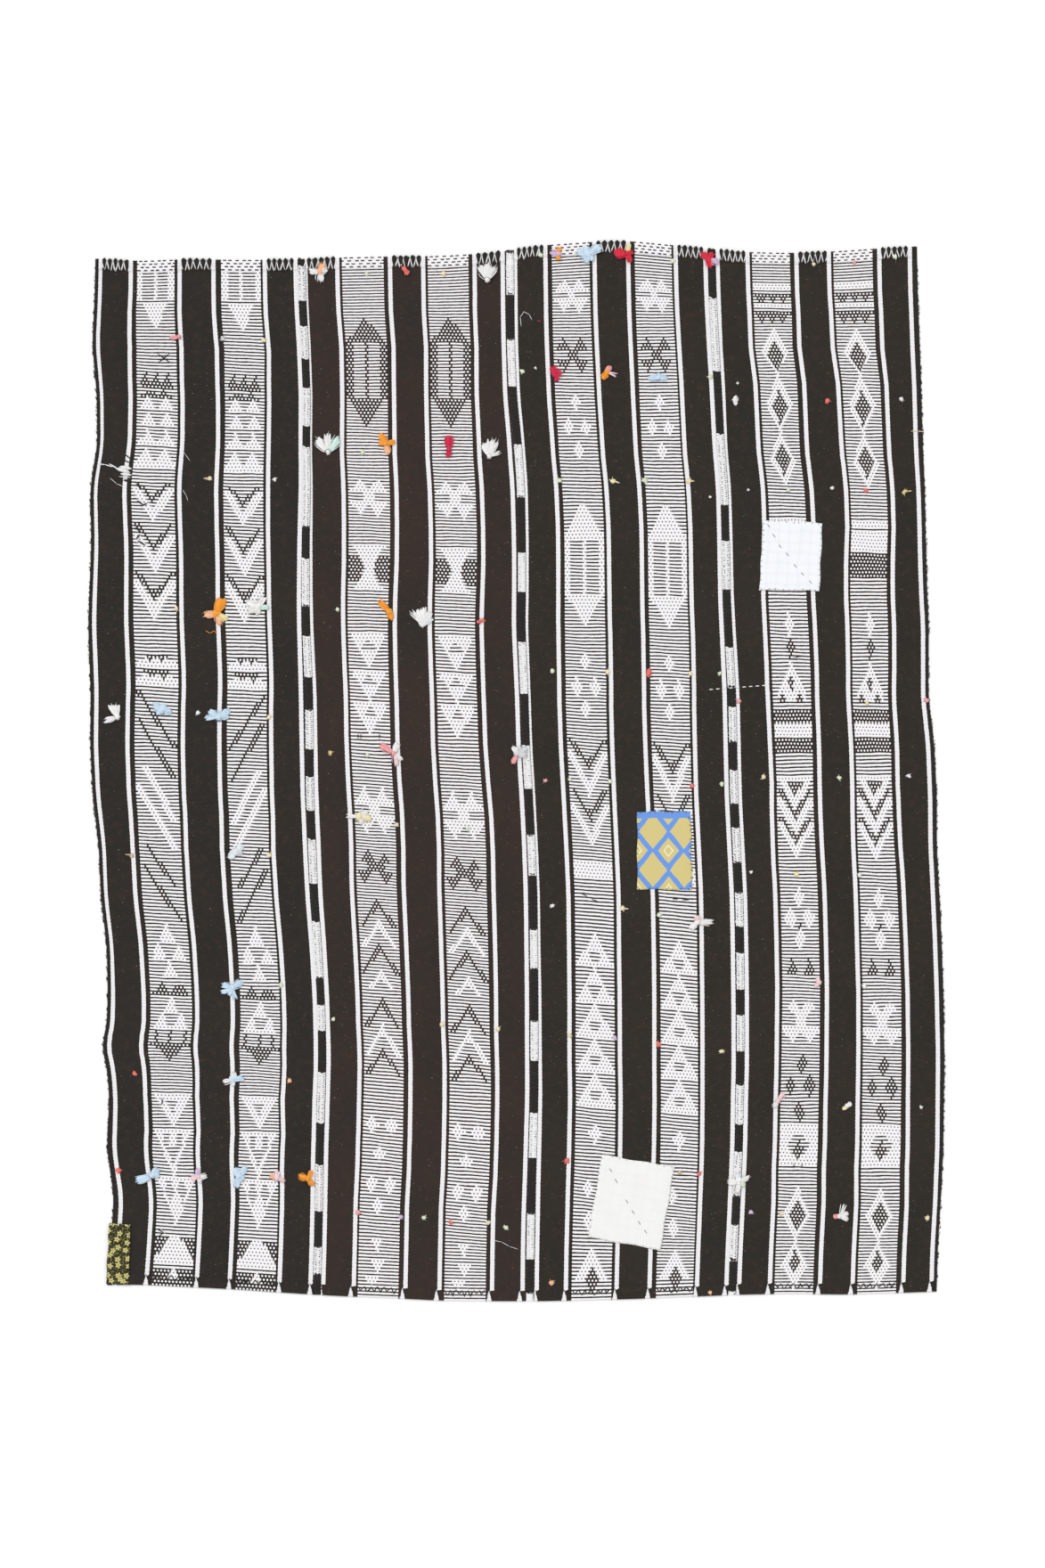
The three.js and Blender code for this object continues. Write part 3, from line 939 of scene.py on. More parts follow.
def close_under(work: bmesh.types.BMesh, floor: float, margin: int = 1) -> None:
    """Closes an open sheet with walls down to a level and a plain underside.

    Args:
        work: The sheet, with its integer vertex layers row, col and low.
        floor: Level of the underside.
        margin: Rows at either end that one face closes, since an end isn't straight.
    """
    row, col, low = (work.verts.layers.int[name] for name in LAYERS)
    rim = [edge for edge in work.edges if edge.is_boundary]
    grown = bmesh.ops.extrude_edge_only(work, edges=rim)["geom"]
    last = max(vert[col] for vert in work.verts)
    for vert in grown:
        if isinstance(vert, bmesh.types.BMVert):
            vert.co.z = floor
            vert[low] = 1
    top = max(vert[row] for vert in work.verts)
    foot = [edge for edge in grown if isinstance(edge, bmesh.types.BMEdge) and edge.is_boundary]
    sides = [edge for edge in foot if {v[col] for v in edge.verts} in ({0}, {last})
             and all(margin <= v[row] <= top - margin for v in edge.verts)]
    bmesh.ops.bridge_loops(work, edges=sides)
    bmesh.ops.holes_fill(work, edges=[edge for edge in work.edges if edge.is_boundary], sides=0)
    bmesh.ops.recalc_face_normals(work, faces=work.faces[:])


def freeze(work: bmesh.types.BMesh, name: str, *spent: str) -> bpy.types.Mesh:
    """Ends a bmesh as a mesh.

    Args:
        work: The bmesh, which is freed.
        name: Name of the mesh.
        spent: Integer vertex layers that it no longer needs.

    Returns:
        The mesh.
    """
    for layer in spent:
        work.verts.layers.int.remove(work.verts.layers.int[layer])
    mesh = bpy.data.meshes.new(name)
    work.to_mesh(mesh)
    work.free()
    return mesh


LAYERS = ("row", "col", "low")


def sheet_grid(columns: int, rows: int) -> bmesh.types.BMesh:
    """A flat grid whose vertices know their row and column.

    Args:
        columns: Cells across.
        rows: Cells along.

    Returns:
        The grid, with the integer vertex layers row, col and low.
    """
    work = bmesh.new()
    layers = [work.verts.layers.int.new(name) for name in LAYERS]
    bmesh.ops.create_grid(work, x_segments=columns, y_segments=rows, size=0.5)
    for vert in work.verts:
        vert[layers[0]] = round((vert.co.y + 0.5) * rows)
        vert[layers[1]] = round((vert.co.x + 0.5) * columns)
    return work


class Taper(Enum):
    """How a short yarn's width runs from its start to its end."""

    STITCH = 0
    LOCK = 1
    SHIELD = 2

    def widths(self, t: np.ndarray) -> np.ndarray:
        """Share of the full width at places along a yarn.

        Args:
            t: Places from 0 to 1.

        Returns:
            The share at each.
        """
        if self is Taper.STITCH:
            return np.sqrt(np.clip(1 - np.abs(2 * t - 1) ** 3, 0.04, 1))
        if self is Taper.LOCK:
            return np.clip(0.62 + 0.5 * np.sin(np.pi * t ** 1.4), 0, 1) * np.sqrt(np.clip(1 - t ** 9, 0.2, 1))
        return (1 - 0.72 * t ** 1.3) * np.sqrt(np.clip(1 - np.abs(2 * t - 1) ** 8, 0.05, 1))


class Strands:
    """Many short yarns made as arrays of one template and joined in one mesh."""

    def __init__(self, rings: int, sides: int, taper: Taper = Taper.STITCH) -> None:
        """Makes the template: a closed round bar along X, of length and thickness 1.

        Args:
            rings: Cells along it.
            sides: Cells round it.
            taper: How its width runs.
        """
        work = bmesh.new()
        bmesh.ops.create_circle(work, segments=sides, radius=0.5, matrix=Matrix.Rotation(math.pi / 2, 4, "Y"))
        bmesh.ops.spin(work, geom=work.edges[:], cent=(0, 0, 0), axis=(1, 0, 0), dvec=(1 / rings, 0, 0),
                       angle=0, steps=rings, use_merge=False)
        bmesh.ops.remove_doubles(work, verts=work.verts[:], dist=1e-6)
        bmesh.ops.holes_fill(work, edges=[edge for edge in work.edges if edge.is_boundary], sides=0)
        bmesh.ops.recalc_face_normals(work, faces=work.faces[:])
        work.verts.ensure_lookup_table()
        self.points = np.array([vert.co[:] for vert in work.verts])
        self.faces = [[vert.index for vert in face.verts] for face in work.faces]
        work.free()
        self.taper = taper
        self.starts, self.ends, self.bows, self.sizes, self.dyes = [], [], [], [], []

    def add(self, start: Sequence[float], end: Sequence[float], width: float, height: float, dye: Colour,
            bow: Sequence[float] = (0.0, 0.0, 0.0)) -> None:
        """Adds one yarn.

        Args:
            start: Middle of its first end.
            end: Middle of its last end.
            width: Full width, level.
            height: Full height.
            dye: Its colour.
            bow: How far its middle stands off the straight line.
        """
        self.starts.append(start)
        self.ends.append(end)
        self.bows.append(bow)
        self.sizes.append((width, height))
        self.dyes.append(dye)

    def mesh(self, name: str, material: bpy.types.Material) -> bpy.types.Mesh:
        """Joins the yarns in one mesh with its dye on the points.

        Args:
            name: Name of the mesh.
            material: Material of all of it.

        Returns:
            The mesh.
        """
        start, end, bow = (np.array(rows, dtype=float)[:, None, :]
                           for rows in (self.starts, self.ends, self.bows))
        size = np.array(self.sizes)[:, None, :]
        t, y, z = (self.points[None, :, i, None] for i in range(3))
        run = end - start
        flat = np.concatenate([-run[..., 1:2], run[..., 0:1], np.zeros_like(run[..., :1])], axis=-1)
        side = flat / np.maximum(np.linalg.norm(flat, axis=-1, keepdims=True), 1e-9)
        width = self.taper.widths(t)
        spots = start + run * t + bow * 4 * t * (1 - t) + side * y * width * size[..., 0:1]
        spots = spots + np.array((0, 0, 1.0)) * z * np.sqrt(width) * size[..., 1:2]
        count = len(self.points)
        faces = [[index + count * i for index in face] for i in range(len(start)) for face in self.faces]
        mesh = bpy.data.meshes.new(name)
        mesh.from_pydata(spots.reshape(-1, 3).tolist(), [], faces)
        dye = mesh.attributes.new("dye", "FLOAT_COLOR", "POINT")
        dye.data.foreach_set("color", np.repeat(np.array(self.dyes), count, axis=0).ravel())
        mesh.polygons.foreach_set("use_smooth", np.ones(len(mesh.polygons), dtype=bool))
        mesh.materials.append(material)
        mesh.update()
        return mesh

    def settle(self, name: str, material: bpy.types.Material, slot: str,
               replaced: Iterable[str] = ()) -> bpy.types.Object:
        """Places the joined yarns in the scene as one piece, as settle() does.

        Args:
            name: Name of the piece.
            material: Material of all of it.
            slot: The record's material slot.
            replaced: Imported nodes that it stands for.

        Returns:
            The object.
        """
        return settle(name, self.mesh(name, material), slot, replaced)


@dataclass
class Strip:
    """One woven strip: its stripes, its chart and its two folded hems. Sizes are in metres."""

    number: int
    left: str
    right: str
    layout: tuple[Layout, ...]
    drops: tuple[float, ...]
    beats: tuple[tuple[float, float], ...]
    chart: list[Figure]
    finish: StripWool
    hem_shift: float
    sway: tuple[tuple[float, float], ...]
    mirrored: bool = False
    relief: float = 0.00035
    warp_relief: float = 0.00012
    end_blend: float = 0.21
    swell: float = 0.0009
    looseness: float = 0.00013
    notch_shake: float = 0.00014
    least_band: float = 0.0007
    rim: float = 0.002
    rim_drop: float = 0.0012
    side_drop: float = 0.0006
    unevenness: float = 0.00015
    end_rows: int = 24
    piece: bpy.types.Object | None = None

    # What lay() works out: the two ends, the pairs of picks, their rows, and every point of the face
    top: float = field(init=False)
    foot: float = field(init=False)
    pairs: int = field(init=False)
    v: np.ndarray = field(init=False, repr=False)
    y_woven: np.ndarray = field(init=False, repr=False)
    x: np.ndarray = field(init=False, repr=False)
    y: np.ndarray = field(init=False, repr=False)
    z: np.ndarray = field(init=False, repr=False)

    # Lengths of the waves in the picks, each with its share of the swell
    WAVES = ((0.42, 1.0), (0.19, 0.6), (0.085, 0.35), (0.04, 0.22))
    # How far a band's sides stand out at the three steps of a pair of picks
    NOTCHES = {Band.WHITE: (-0.00028, 0.00038, -0.0001), Band.CHART: (-0.00035, 0.00045, -0.0002)}
    # Where across a strip its length is taken, and in how many steps the beat is summed along it
    ANCHOR, STEPS = 0.3, 2000
    # How far above the foot the bands of the plain underside are taken, in metres
    BACK_AT = 0.3

    def insets(self) -> tuple[float, float]:
        """Room kept for what runs along the two sides."""
        return tuple((EDGE_WIDTH if line in ("left", "right") else SEAM_WIDTH / 2) + GAP
                     for line in (self.left, self.right))

    def share(self, name: str, y: np.ndarray) -> np.ndarray:
        """Share of the way across of a column of the layout, with the sway of the beating in.

        Args:
            name: Field of Layout.
            y: Heights along the cloth.

        Returns:
            The share at each height.
        """
        share = by_row([(row.row, getattr(row, name)) for row in self.layout], y)
        width = OUTLINE.line(self.right, y) - OUTLINE.line(self.left, y)
        return share + by_row(self.sway, y) / width * np.minimum(6 * share * (1 - share), 1)

    def sides(self, y: np.ndarray) -> np.ndarray:
        """Sides of the bands at heights y, as shares of the way across.

        Args:
            y: Heights, in one row.

        Returns:
            One row for each height and one more column than there are bands.
        """
        width = OUTLINE.line(self.right, y) - OUTLINE.line(self.left, y)
        inset = self.insets()
        over_foot = y - y.min()
        near_foot = smooth((HEM_DEPTH - over_foot) / (HEM_DEPTH * 0.9))
        fold = np.where(over_foot < HEM_DEPTH, 0.22 + 0.9 * near_foot, 1.0)
        half = STRIPE_HALF * fold / width
        shift = -self.hem_shift * (over_foot < HEM_DEPTH) / width
        whites = [self.share(name, y) + shift for name in Layout.WHITES]
        chart = [self.share(name, y) for name in Layout.CHARTS]
        sides = [inset[0] / width]
        for i, centre in enumerate(whites):
            sides += [centre - half, centre + half]
            if i in (1, 3):
                sides += chart[i - 1:i + 1]
        table = np.stack([*sides, 1 - inset[1] / width], axis=1)
        least = self.least_band / width
        for i in range(1, table.shape[1]):
            table[:, i] = np.maximum(table[:, i], table[:, i - 1] + least)
        for i in range(table.shape[1] - 2, -1, -1):
            table[:, i] = np.minimum(table[:, i], table[:, i + 1] - least)
        return table

    def lay(self) -> None:
        """Works out where every point of the cloth's face lies."""
        dice = np.random.default_rng(self.number)
        left, right = OUTLINE.line(self.left, 0.0), OUTLINE.line(self.right, 0.0)
        anchor = left + self.ANCHOR * (right - left)
        self.top, self.foot = float(OUTLINE.end("top", anchor)), float(OUTLINE.end("bottom", anchor))
        fine = np.linspace(self.foot, self.top, self.STEPS)
        pitch = by_row(self.beats, fine)
        passed = np.concatenate([[0], np.cumsum(np.diff(fine) * 2 / (pitch[1:] + pitch[:-1]))])
        self.pairs = round(passed[-1])
        steps = np.arange(3 * self.pairs + 1)
        self.v = steps // 3 + np.array((0, THICK_SHARE / 2, THICK_SHARE))[steps % 3]
        self.y_woven = np.interp(self.v, passed * self.pairs / passed[-1], fine)
        table = self.sides(self.y_woven)
        columns = [table[:, i] + (table[:, i + 1] - table[:, i]) * n / count
                   for i, (_, count) in enumerate(BANDS) for n in range(count)]
        share = np.stack([*columns, table[:, -1]], axis=1)
        self.y = self.beaten(share, dice)
        left, right = OUTLINE.line(self.left, self.y), OUTLINE.line(self.right, self.y)
        self.x = left + share * (right - left)
        self.scallop(steps, dice)
        self.z = self.heights(steps)

    def beaten(self, share: np.ndarray, dice: np.random.Generator) -> np.ndarray:
        """Where the picks lie along the cloth: they follow the ends there, and slope and wave between.

        Args:
            share: Share of the way across of every point.
            dice: Source of unevenness.

        Returns:
            Y of every point.
        """
        y = self.y_woven[:, None]
        left, right = OUTLINE.line(self.left, y), OUTLINE.line(self.right, y)
        x = left + share * (right - left)
        first, second = ((share[:, start:start + 1] + share[:, end:end + 1]) / 2
                         for band, start, end in SPANS if band is Band.CHART)
        drop = np.interp(photo_row(y), [row.row for row in self.layout], self.drops) * PIXEL
        near_top = smooth(1 - (self.top - y) / self.end_blend)
        near_foot = smooth(1 - (y - self.foot) / self.end_blend)
        wave = np.zeros_like(x)
        for length, high in self.WAVES:
            turn = dice.uniform(0.5, 1.2)
            wave += self.swell * high * np.sin((x + y * turn) * math.tau / length + dice.uniform(0, 6))
        ends = near_top * (OUTLINE.end("top", x) - self.top)
        ends = ends + near_foot * (OUTLINE.end("bottom", x) - self.foot)
        slope = drop * (share - first) / (second - first)
        loose = dice.normal(0, self.looseness, x.shape)
        loose[:2] = loose[-2:] = 0
        return y + ends + (1 - near_top - near_foot) * (wave - slope) + loose

    def scallop(self, steps: np.ndarray, dice: np.random.Generator) -> None:
        """Makes the sides of the white stripes notched, as warp ends turn over picks.

        Args:
            steps: Number of every row of points.
            dice: Source of unevenness.
        """
        for band, start, end in SPANS:
            if band in self.NOTCHES:
                notch = np.array(self.NOTCHES[band])[steps % 3]
                self.x[:, start] -= notch + dice.normal(0, self.notch_shake, len(steps))
                self.x[:, end] += notch + dice.normal(0, self.notch_shake, len(steps))
        inset = self.insets()
        self.x[:, 0] = OUTLINE.line(self.left, self.y[:, 0]) + inset[0]
        self.x[:, -1] = OUTLINE.line(self.right, self.y[:, -1]) - inset[1]

    def heights(self, steps: np.ndarray) -> np.ndarray:
        """Height of every point: the ribs of the picks, the folded hems and the rounded sides.

        Args:
            steps: Number of every row of points.

        Returns:
            Z of every point.
        """
        relief = [self.relief if band is Band.CHART else self.warp_relief for band, count in BANDS
                  for _ in range(count)]
        crest = (steps % 3 == 1).astype(float)[:, None]
        z = CLOTH - np.array(relief + relief[-1:])[None, :] * (1 - crest)
        from_end = np.minimum(OUTLINE.end("top", self.x) - self.y, self.y - OUTLINE.end("bottom", self.x))
        hem = 1 - smooth((from_end - HEM_DEPTH) / HEM_STEP)
        z = z + (HEM - CLOTH) * hem
        z = z - self.rim_drop * np.clip(1 - from_end / self.rim, 0, 1) ** 2
        uneven = np.sin(self.x * 47 + 1) * np.sin(self.y * 31 + self.number) - 1
        z = z + self.unevenness * uneven * (1 - hem)
        z[:, [0, -1]] -= self.side_drop
        return z

    def painted(self) -> np.ndarray:
        """What each cell of the chart shows, for both pattern stripes.

        Returns:
            Array of pair, stripe and column.
        """
        cells = np.zeros((self.pairs, 2, CHART_COLUMNS), dtype=int)
        places = np.arange(CHART_COLUMNS) - (CHART_COLUMNS - 1) / 2
        turns = (1, -1 if self.mirrored else 1)
        for pair in range(self.pairs):
            row = photo_row((self.y_woven[3 * pair] + self.y_woven[3 * pair + 3]) / 2)
            for figure in self.chart:
                for stripe, turn in enumerate(turns):
                    found = figure.columns(row, turn)
                    if found:
                        cells[pair, stripe, np.abs(places - found[0]) <= found[1]] = figure.yarn.value
        return cells

    def yarns(self) -> np.ndarray:
        """What each face shows.

        Returns:
            Array of row, column and three values: the base (1 white), 1 for a float, and 1 for a warp face.
        """
        cells = self.painted()
        rows = 3 * self.pairs
        pair, kind = np.arange(rows) // 3, np.arange(rows) % 3
        thick = (kind < 2)[:, None]
        hem = (self.y_woven[3 * pair + 3] > self.top - HEM_DEPTH * 0.9)[:, None]
        table = np.zeros((rows, SPANS[-1][2], 3))
        stripe = 0
        for band, start, end in SPANS:
            block = table[:, start:end]
            if band is Band.CHART:
                shown = cells[pair, stripe]
                base = np.where(shown == 0, thick, shown == Yarn.WHITE.value).astype(float)
                spot = ((shown == Yarn.WHITE.value) & ~thick) | ((shown == Yarn.BLACK.value) & thick)
                places = np.arange(end - start)[None, :]
                dash = ((places * 3 + pair[:, None] * 7 + self.number) % 11 < 6) & ~thick
                block[..., 0] = np.where(hem, ~dash, base)
                block[..., 1] = np.where(hem, 0, spot)
                stripe += 1
            else:
                block[..., 0] = band is Band.WHITE
                block[..., 2] = 1
        return table

    def maps(self) -> tuple[np.ndarray, np.ndarray]:
        """Map places of every column, counted in chart columns or warp ends.

        Returns:
            The places of the left sides and of the right sides.
        """
        starts, ends = [], []
        middle = self.x[len(self.v) // 2]
        for band, start, end in SPANS:
            place = 0.0
            for n in range(start, end):
                wide = 1.0 if band is Band.CHART else max(round((middle[n + 1] - middle[n]) / WARP_END), 1.0)
                starts.append(place)
                place += wide
                ends.append(place)
        return np.array(starts), np.array(ends)

    def build(self) -> bpy.types.Object:
        """Builds the strip as one closed sheet and dresses it.

        Returns:
            The strip's object.
        """
        self.lay()
        columns, rows = SPANS[-1][2], 3 * self.pairs
        work = sheet_grid(columns, rows)
        row, col = work.verts.layers.int["row"], work.verts.layers.int["col"]
        for vert in work.verts:
            i, j = vert[row], vert[col]
            vert.co = (self.x[i, j], self.y[i, j], self.z[i, j])
        close_under(work, 0.0, self.end_rows)
        mesh = freeze(work, f"strip_{self.number}")
        self.mark(mesh, columns, rows)
        table = self.sides(np.array([self.foot + self.BACK_AT, self.foot, self.top]))[0]
        edges = (table - table[0]) / (table[-1] - table[0])
        mesh.materials.append(self.finish.dress())
        mesh.materials.append(self.finish.dress_back(edges.tolist()))
        self.piece = settle(f"strip_{self.number}", mesh, "strip_wool", [f"panel_{self.number}"])
        return self.piece

    def mark(self, mesh: bpy.types.Mesh, columns: int, rows: int) -> None:
        """Writes the yarn of each face, its map and its material.

        Args:
            mesh: The strip's mesh, with its point attributes row, col and low.
            columns: Columns of the face.
            rows: Rows of the face.
        """
        read = {}
        for name in LAYERS:
            read[name] = np.zeros(len(mesh.vertices), dtype=np.int32)
            mesh.attributes[name].data.foreach_get("value", read[name])
        corner = np.zeros(len(mesh.loops), dtype=np.int32)
        mesh.loops.foreach_get("vertex_index", corner)
        starts = np.zeros(len(mesh.polygons), dtype=np.int32)
        mesh.polygons.foreach_get("loop_start", starts)
        sizes = np.diff(np.append(starts, len(corner)))
        i, j = read["row"][corner], read["col"][corner]
        face_row = np.minimum(np.minimum.reduceat(i, starts), rows - 1)
        face_col = np.minimum(np.minimum.reduceat(j, starts), columns - 1)
        under = np.minimum.reduceat(read["low"][corner], starts) == 1
        yarns = self.yarns()[face_row, face_col]
        mesh.attributes.new("yarn", "FLOAT_VECTOR", "FACE").data.foreach_set("vector", yarns.ravel())
        left, right = self.maps()
        at = np.repeat(face_col, sizes)
        u = np.where(j == at, left[at], right[at])
        u = np.where(np.repeat(under, sizes), j / columns, u)
        weave = mesh.uv_layers.new(name="weave")
        weave.data.foreach_set("uv", np.stack([u, self.v[i]], axis=1).ravel())
        mesh.polygons.foreach_set("material_index", under.astype(np.int32))
        for name in LAYERS:
            mesh.attributes.remove(mesh.attributes[name])
        mesh.update()

    def declare(self) -> None:
        """Does nothing."""


LAYOUT_ONE = (
    Layout(330, 24, 171, 202, 382, 407, 571, 608, 799, 820, 971),
    Layout(520, 21, 154, 185, 385, 408, 580, 613, 798, 821, 975),
    Layout(770, 27, 172, 205, 400, 425, 591, 625, 805, 826, 963),
    Layout(1070, 22, 161, 193, 387, 412, 581, 619, 802, 823, 972),
    Layout(1370, 38, 186, 214, 404, 426, 583, 614, 801, 821, 969),
)
LAYOUT_TWO = (
    Layout(330, 18, 168, 190, 389, 420, 579, 601, 796, 826, 964),
    Layout(520, 18, 169, 191, 386, 417, 571, 593, 785, 815, 960),
    Layout(770, 25, 169, 189, 371, 404, 569, 593, 777, 809, 966),
    Layout(1070, 30, 171, 194, 374, 407, 568, 593, 785, 818, 965),
    Layout(1370, 29, 171, 190, 380, 413, 573, 596, 790, 820, 965),
)
LAYOUT_THREE = (
    Layout(330, 25, 174, 206, 392, 417, 584, 617, 799, 820, 969),
    Layout(520, 23, 169, 198, 391, 414, 577, 608, 799, 819, 970),
    Layout(770, 20, 168, 199, 393, 417, 575, 606, 794, 816, 964),
    Layout(1070, 22, 172, 203, 389, 414, 583, 613, 792, 815, 965),
    Layout(1370, 33, 176, 204, 400, 426, 589, 622, 804, 824, 971),
)
LAYOUT_FOUR = (
    Layout(330, 29, 177, 199, 383, 415, 573, 595, 785, 818, 965),
    Layout(520, 22, 187, 211, 390, 427, 600, 621, 803, 833, 966),
    Layout(770, 27, 180, 206, 401, 433, 591, 613, 793, 824, 973),
    Layout(880, 28, 191, 217, 395, 428, 589, 611, 783, 813, 968),
    Layout(970, 29, 181, 207, 394, 428, 584, 606, 791, 822, 969),
    Layout(1070, 30, 181, 207, 391, 426, 580, 602, 791, 822, 967),
    Layout(1370, 34, 184, 207, 395, 429, 589, 612, 800, 836, 974),
)

# How closely pairs of picks are packed down a strip: (row, millimetres for a pair)
BEAT_ONE = ((330, 6.2), (430, 6.5), (560, 6.6), (700, 7.3), (770, 7.2), (880, 6.8), (1000, 7.0),
            (1100, 6.7), (1190, 6.0), (1300, 6.8), (1430, 7.0))
BEAT_TWO = ((330, 6.0), (520, 6.4), (620, 6.2), (700, 6.7), (820, 7.2), (930, 6.1), (1060, 6.2),
            (1150, 6.7), (1260, 7.2), (1430, 6.7))
BEAT_THREE = ((330, 6.2), (450, 6.7), (560, 7.1), (700, 6.7), (850, 6.8), (940, 6.3), (1040, 7.5),
              (1200, 6.8), (1350, 7.1), (1430, 7.3))
BEAT_FOUR = ((330, 5.8), (420, 6.4), (520, 6.4), (600, 7.0), (700, 7.2), (800, 7.1), (900, 7.2), (980, 7.0),
             (1100, 6.7), (1200, 6.6), (1300, 7.0), (1430, 6.2))

# How far the stripes of a strip sway to the right between rows of its layout: (row, millimetres)
SWAY_ONE = ((350, 1), (390, 5), (430, 1), (510, 0), (590, 1), (640, 3), (710, 4), (750, 3), (790, 0),
            (910, 0), (950, -3), (990, -1), (1070, 1.5), (1150, 3), (1190, 2), (1230, -1.5), (1270, 3),
            (1310, 0))
SWAY_TWO = ((350, 2), (390, 5), (430, 3), (510, 0), (550, 2), (590, 4), (630, 4.5), (670, 2.5), (750, 1),
            (830, 1), (870, 2.5), (910, 5), (950, 4.5), (990, 2), (1150, 1), (1190, 3), (1270, 4.5),
            (1310, 4), (1350, 1))
SWAY_THREE = ((350, 1), (390, 2), (430, 2.5), (510, 1), (550, 3), (590, 5), (710, 5), (750, 2.5), (790, 0),
              (990, 0), (1190, -1.5), (1230, 0), (1310, 1))
SWAY_FOUR = ((350, -1), (390, -3), (430, 2), (510, 0), (550, 3.5), (590, 5), (630, 1.5), (670, 0), (750, 1),
             (830, -1), (910, -2), (990, 0), (1110, 0), (1190, -2.5), (1310, -3), (1350, 0))


def strips() -> list[Strip]:
    """The four strips from left to right."""
    wools = (
        StripWool("hand-spun wool one", "#232320", "#2a2723"),
        StripWool("hand-spun wool two", "#2c2724", "#382b27"),
        StripWool("hand-spun wool three"), StripWool("hand-spun wool four"),
    )
    return [
        Strip(1, "left", "seam1", LAYOUT_ONE, (4, 4, 4, 4, 4), BEAT_ONE, CHART_ONE, wools[0], 0.001, SWAY_ONE,
              mirrored=True),
        Strip(2, "seam1", "seam2", LAYOUT_TWO, (0, 2, 4, 8, 8), BEAT_TWO, CHART_TWO, wools[1], 0.006,
              SWAY_TWO),
        Strip(3, "seam2", "seam3", LAYOUT_THREE, (0, 0, 4, 8, 8), BEAT_THREE, CHART_THREE, wools[2], 0.0035,
              SWAY_THREE),
        Strip(4, "seam3", "right", LAYOUT_FOUR, (0, 3, 0, 0, 1, 2, 2), BEAT_FOUR, CHART_FOUR, wools[3], 0.004,
              SWAY_FOUR),
    ]


BLACK_YARN = linear("#282522")
WHITE_YARN = linear("#f5f4f5")


@dataclass
class Ribbon:
    """A closed bar along a long line, on a floor at zero, with a domed back. Sizes are in metres."""

    line: str
    start: float
    end: float
    side: float
    crown: float
    spacing: float
    columns: int = 6
    ridge: float = 0.0
    pitch: float = 0.006
    slope: float = 0.0

    def mesh(self, name: str, material: bpy.types.Material, dye: Colour) -> bpy.types.Mesh:
        """Builds the bar.

        Args:
            name: Name of the mesh.
            material: Material of all of it.
            dye: Colour of its yarn.

        Returns:
            The mesh.
        """
        middle, half = (self.start + self.end) / 2, (self.end - self.start) / 2
        x_mid = OUTLINE.line(self.line, 0.0) + middle
        rows = round((OUTLINE.end("top", x_mid) - OUTLINE.end("bottom", x_mid)) / self.spacing)
        work = sheet_grid(self.columns, rows)
        row, col = work.verts.layers.int["row"], work.verts.layers.int["col"]
        heights = np.linspace(*OUTLINE.run(self.line, middle), rows + 1)
        line = OUTLINE.line(self.line, heights)
        for vert in work.verts:
            i, off = vert[row], 2 * vert[col] / self.columns - 1
            phase = (heights[i] + off * self.slope) / self.pitch
            swell = self.ridge * (math.sin(phase * math.tau) + 0.4 * math.sin(phase * 3.7 + i * 0.013))
            reach = middle + off * half + abs(off) ** 3 * math.copysign(swell * 0.5, off)
            dome = 1 - off * off
            z = self.side + (self.crown - self.side + swell) * dome
            vert.co = (line[i] + min(max(reach, self.start), self.end), heights[i], min(z, self.crown))
        close_under(work, 0.0)
        mesh = freeze(work, name, *LAYERS)
        colours = mesh.attributes.new("dye", "FLOAT_COLOR", "POINT")
        colours.data.foreach_set("color", np.tile(np.array(dye), len(mesh.vertices)))
        mesh.materials.append(material)
        return mesh


class Join(NamedTuple):
    """A needle-worked join: the spacing and lean of its stitches, the width of its white blocks,
    the stitches' thickness, the share of dark flecks, and the rows of the white blocks."""

    number: int
    pitch: float
    lean: float
    wide: float
    thick: float
    flecks: float
    blocks: tuple[tuple[float, float], ...]


JOINS = (
    Join(1, 0.0040, 0.0044, 0.0176, 0.0040, 0.85, (
        (298, 338), (368, 402), (436, 478), (503, 590), (628, 680), (714, 760), (797, 840), (873, 908),
        (945, 992), (1035, 1098), (1128, 1157), (1205, 1260), (1308, 1360), (1400, 1430))),
    Join(2, 0.0033, 0.0014, 0.0172, 0.0038, 0.2, (
        (284, 330), (382, 434), (500, 558), (620, 665), (722, 778), (838, 885), (938, 982), (1044, 1087),
        (1147, 1190), (1250, 1300), (1362, 1412), (1452, 1461))),
    Join(3, 0.0040, 0.0040, 0.0176, 0.0040, 0.85, (
        (336, 416), (488, 566), (608, 662), (727, 772), (793, 833), (865, 902), (930, 968), (1002, 1040),
        (1070, 1110), (1140, 1180), (1218, 1262), (1295, 1342), (1375, 1415), (1450, 1458))),
)


